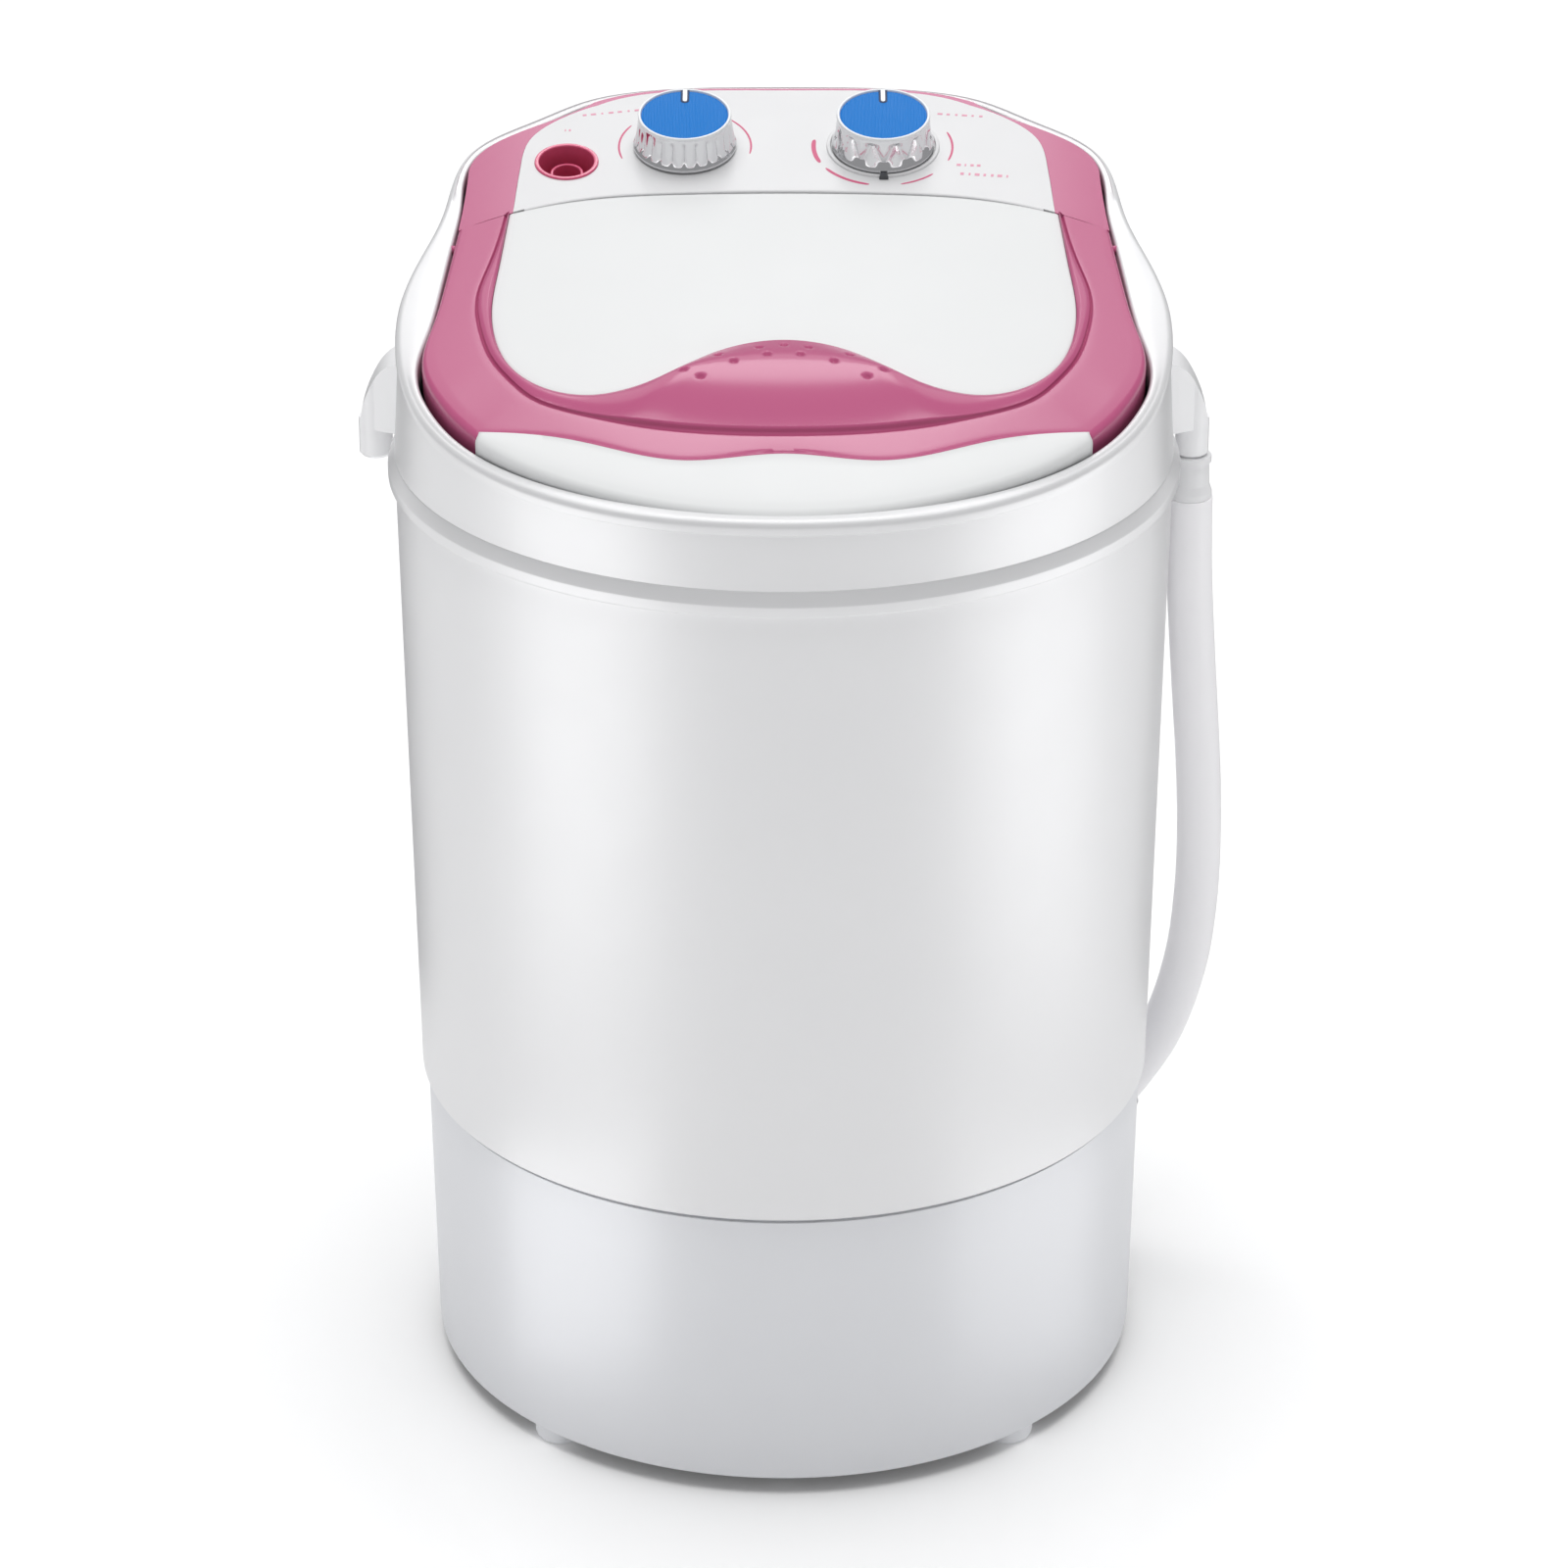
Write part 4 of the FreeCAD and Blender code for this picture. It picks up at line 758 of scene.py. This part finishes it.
# ---- control panel ------------------------------------------------------------------------------
LIP_SECTION = [(1.2, 0.31), (0.4, 0.31), (0.1, 0.22), (-0.2, -0.05), (-0.2, -1.4)]   # behind the seam, height
INLET_X, INLET_Y = -96.7, 109.6
KNOB_X, KNOB_Y = 44.2, 122.0
PRINT_LOW, PRINT_HIGH = 0.30, 0.38


def make_fascia_lip():
    """The fascia's front edge, rolled over towards the window."""
    seam = through(SEAM)
    seam = seam[np.abs(seam[:, 0]) < 117.0]
    rows = [lay(seam + (0, behind), np.full(len(seam), height), PANEL_TILT)
            for behind, height in LIP_SECTION]
    piece("fascia_lip", grid("fascia_lip", rows), "cabinet", "fascia_white")


def make_inlet():
    """The inlet's cup with its rim and the nipple that stands in it."""
    cup = [(7.5, -66), (7.5, -18), (13.3, -18), (13.3, 0.3), (14.4, 0.3), (14.0, 1.2), (12.2, 1.2)]
    nipple = [(11.8, -16), (7.6, -16), (7.4, -5), (6.0, -5), (6.0, -66), (7.5, -66)]
    profile = rounded(cup + nipple, [0, 0, 0, 0.2, 0.5, 0.7, 1.5, 1.0, 0.6, 0.6, 0])
    piece("inlet_cup", turned("inlet_cup", profile, stand(INLET_X, INLET_Y), 96), "cabinet", "inlet_plastic",
          replaces=("water_inlet",))


def arc_strip(name, x, y, radius, thickness, first, last):
    """A printed arc on the fascia; angles in degrees from +X, seen from above."""
    angles = np.radians(np.linspace(first, last, max(6, int(abs(last - first)))))
    taper = np.sqrt(np.clip(1 - np.linspace(-1, 1, len(angles)) ** 8, 0.02, 1)) * thickness / 2
    rows = []
    for sign, z in ((-1, PRINT_LOW), (-1, PRINT_HIGH), (1, PRINT_HIGH), (1, PRINT_LOW)):
        r = radius + sign * taper
        rows.append(np.stack([r * np.cos(angles), r * np.sin(angles), np.full(len(angles), z)], -1) * MM)
    mesh = grid(name, rows)
    mesh.transform(stand(x, y))
    piece(name, mesh, "cabinet", "fascia_white", look=PRINT_PINK)


def dash(name, x, y, length, thickness, slope=0.0):
    """A short printed stroke on the fascia."""
    along, across = np.array([1.0, slope]), np.array([-slope, 1.0])
    ends = [along * length / 2 + across * s * thickness / 2 for s in (-1, 1)]
    ring = [-ends[1], ends[0], ends[1], -ends[0]]
    rows = [lay([(x + px, y + py) for px, py in ring], [z] * 4, PANEL_TILT) for z in (0.30, 0.37)]
    piece(name, grid(name, rows, closed=True, cap_last=True), "cabinet", "fascia_white", look=PRINT_PALE)


ARCS = [    # side, radius, thickness, first and last angle, round the knobs
    (-1, 29.5, 0.9, 145, 200),
    (-1, 29.5, 0.9, -12, 48),
    (1, 31.0, 2.0, 170, 205),
    (1, 31.0, 1.5, 214, 258),
    (1, 31.0, 1.0, 284, 315),
    (1, 31.0, 1.0, -22, 22),
]
DASH_ROWS = [    # first end, last end, number of strokes, thickness
    (-91.7, 146.1, -64.1, 150.7, 7, 1.3),
    (68.4, 147.6, 90.4, 145.3, 6, 1.3),
    (76.2, 107.8, 88.0, 107.0, 4, 1.6),
    (77.3, 101.0, 100.6, 98.6, 7, 1.8),
    (-99.0, 134.5, -95.0, 134.5, 2, 1.5),
]


def make_prints():
    """Plain arcs and strokes in the places of the printed marks; none of them is a letter."""
    for k, (side, radius, thickness, first, last) in enumerate(ARCS):
        arc_strip("printed_arc_%d" % k, side * KNOB_X, KNOB_Y, radius, thickness, first, last)
    for r, (x0, y0, x1, y1, count, thickness) in enumerate(DASH_ROWS):
        for k in range(count):
            t = (k + 0.5) / count
            length = (0.44 + 0.22 * math.sin(2.3 * k + r)) * (x1 - x0) / count
            dash("printed_dash_%d_%d" % (r, k), x0 + (x1 - x0) * t, y0 + (y1 - y0) * t, length, thickness,
                 (y1 - y0) / (x1 - x0))


KNOB_TOP = 17.6
CUT_LOW, CUT_HEIGHT = 3.5, 11.5    # where the cuts round the skirt begin, and how high they reach


def knob_cuts(facets, chevrons):
    """How deep the cuts round a knob's skirt are: upright flutes, or crossing chevrons."""
    def cuts(angles, r, z):
        height = (z / MM - CUT_LOW) / CUT_HEIGHT
        fade = np.clip(min(height, 1 - height) * 6, 0, 1)
        turns = angles * facets / (2 * math.pi)
        if not chevrons:
            return -1.1 * MM * (np.abs((turns % 1) - 0.5) * 2) ** 2 * fade
        up = np.abs(((turns + height * 0.5) % 1) - 0.5) * 2
        down = np.abs(((turns - height * 0.5) % 1) - 0.5) * 2
        return -1.5 * MM * np.maximum(up, down) ** 2 * fade
    return cuts


def pointer(name, at, half, inner, top):
    """A round-nosed bar on a knob's cap, from the cap's edge in to a distance from its centre."""
    outer, foot = 20.2, 15.4
    around = np.radians(np.linspace(180, 360, 17))
    nose = [(half * math.cos(a), inner + half + half * math.sin(a)) for a in around]
    outline = [(-half, outer)] + nose + [(half, outer)]
    rows = [[(px * MM, py * MM, h * MM) for px, py in outline] for h in (foot, top - 0.12)]
    rows.append([(px * 0.94 * MM, py * MM, top * MM) for px, py in outline])
    mesh = grid(name, rows, closed=True, cap_last=True)
    mesh.transform(at)
    return mesh


def make_knob(prefix, x, body, facets, chevrons):
    at = stand(x, KNOB_Y)
    skirt = [(3.2, 1.0), (22.6, 1.0), (23.0, 1.4), (23.0, 2.4), (22.4, 3.2)]
    skirt += [(22.2 - 1.5 * k / 12, CUT_LOW + CUT_HEIGHT * k / 12) for k in range(13)]
    skirt += [(20.6, 15.6), (20.7, 16.4)]
    piece(prefix + "_skirt", turned(prefix + "_skirt", skirt, at, 384, knob_cuts(facets, chevrons)), body,
          "knob_chrome", replaces=(prefix + "_knob",), crease=28)
    ring = rounded([(20.4, 15.8), (20.9, 16.2), (20.6, KNOB_TOP), (19.6, KNOB_TOP), (19.3, 16.2)],
                   [0.4, 0.5, 0.4])
    piece(prefix + "_ring", turned(prefix + "_ring", ring, at, 192), body, "pointer_white")
    cap = rounded([(19.35, 15.4), (19.3, 16.7), (18.4, 17.0), (8, 17.25), (0.02, 17.3)], [0.25, 0.3, 0])
    piece(prefix + "_top", turned(prefix + "_top", cap, at, 192), body, "knob_blue",
          replaces=(prefix + "_cap",))
    # a dark blue bar under the white line, painted shade of the pointer's slot rather than a recess
    slot = pointer(prefix + "_slot", at, half=1.9, inner=9.2, top=17.34)
    piece(prefix + "_slot", slot, body, "pointer_white", look=SLOT_PAINTED_SHADE)
    line = pointer(prefix + "_line", at, half=1.0, inner=10.2, top=KNOB_TOP)
    piece(prefix + "_line", line, body, "pointer_white", replaces=(prefix + "_pointer",))


def make_stop_ring():
    """The low ring and the small stop lug round the right-hand knob."""
    at = stand(KNOB_X, KNOB_Y)
    ring = rounded([(23.4, 0.3), (25.3, 0.3), (25.1, 1.3), (23.5, 1.3), (23.4, 0.3)], [0, 0.5, 0.4])
    piece("stop_ring", turned("stop_ring", ring, at, 160), "cabinet", "fascia_white")
    outline = [(-2.0, -26.6), (2.0, -26.6), (1.5, -23.6), (-1.5, -23.6)]
    rows = [[(x * MM * s, y * MM, z * MM) for x, y in outline]
            for s, z in ((1, 0.3), (1, 1.9), (0.8, 2.3))]
    lug = grid("stop_lug", rows, closed=True, cap_last=True)
    lug.transform(at)
    piece("stop_lug", lug, "cabinet", "grey_plastic", look=LUG_GREY)


# ---- carried-over parts -------------------------------------------------------------------------
SOFTENED = [("panel_surround", 0.5 * MM), ("panel_fascia", 0.25 * MM), ("left_handle", 1.2 * MM),
            ("right_handle", 1.2 * MM), ("base_plate", 0.5 * MM)]


def dress_frame():
    """Gives every CAD node that stays its procedural finish, and the base plate a near-black painted shade.
    """
    slots = {s["node"]: s["material_slot"] for s in RECORD["subparts"]}
    for node, obj in frame["nodes"].items():
        for entry in obj.material_slots:
            # the base plate takes the near-black painted shade in place of its slot's look
            entry.material = PAINTED_SHADE_UNDERSIDE if node == "base_plate" else LOOKS[slots[node]]
    for node, width in SOFTENED:
        soften(node, width)


make_camera()
make_hose()
make_stage()
dress_frame()
make_base()
make_spout_collar()
make_tub()
make_tub_ribs()
make_band()
make_rim()
make_ledge()
make_lid()
make_window()
make_fascia_lip()
make_inlet()
make_prints()
make_knob("wash_timer", -KNOB_X, "timer_knob", facets=24, chevrons=False)
make_knob("mode_switch", KNOB_X, "mode_knob", facets=12, chevrons=True)
make_stop_ring()
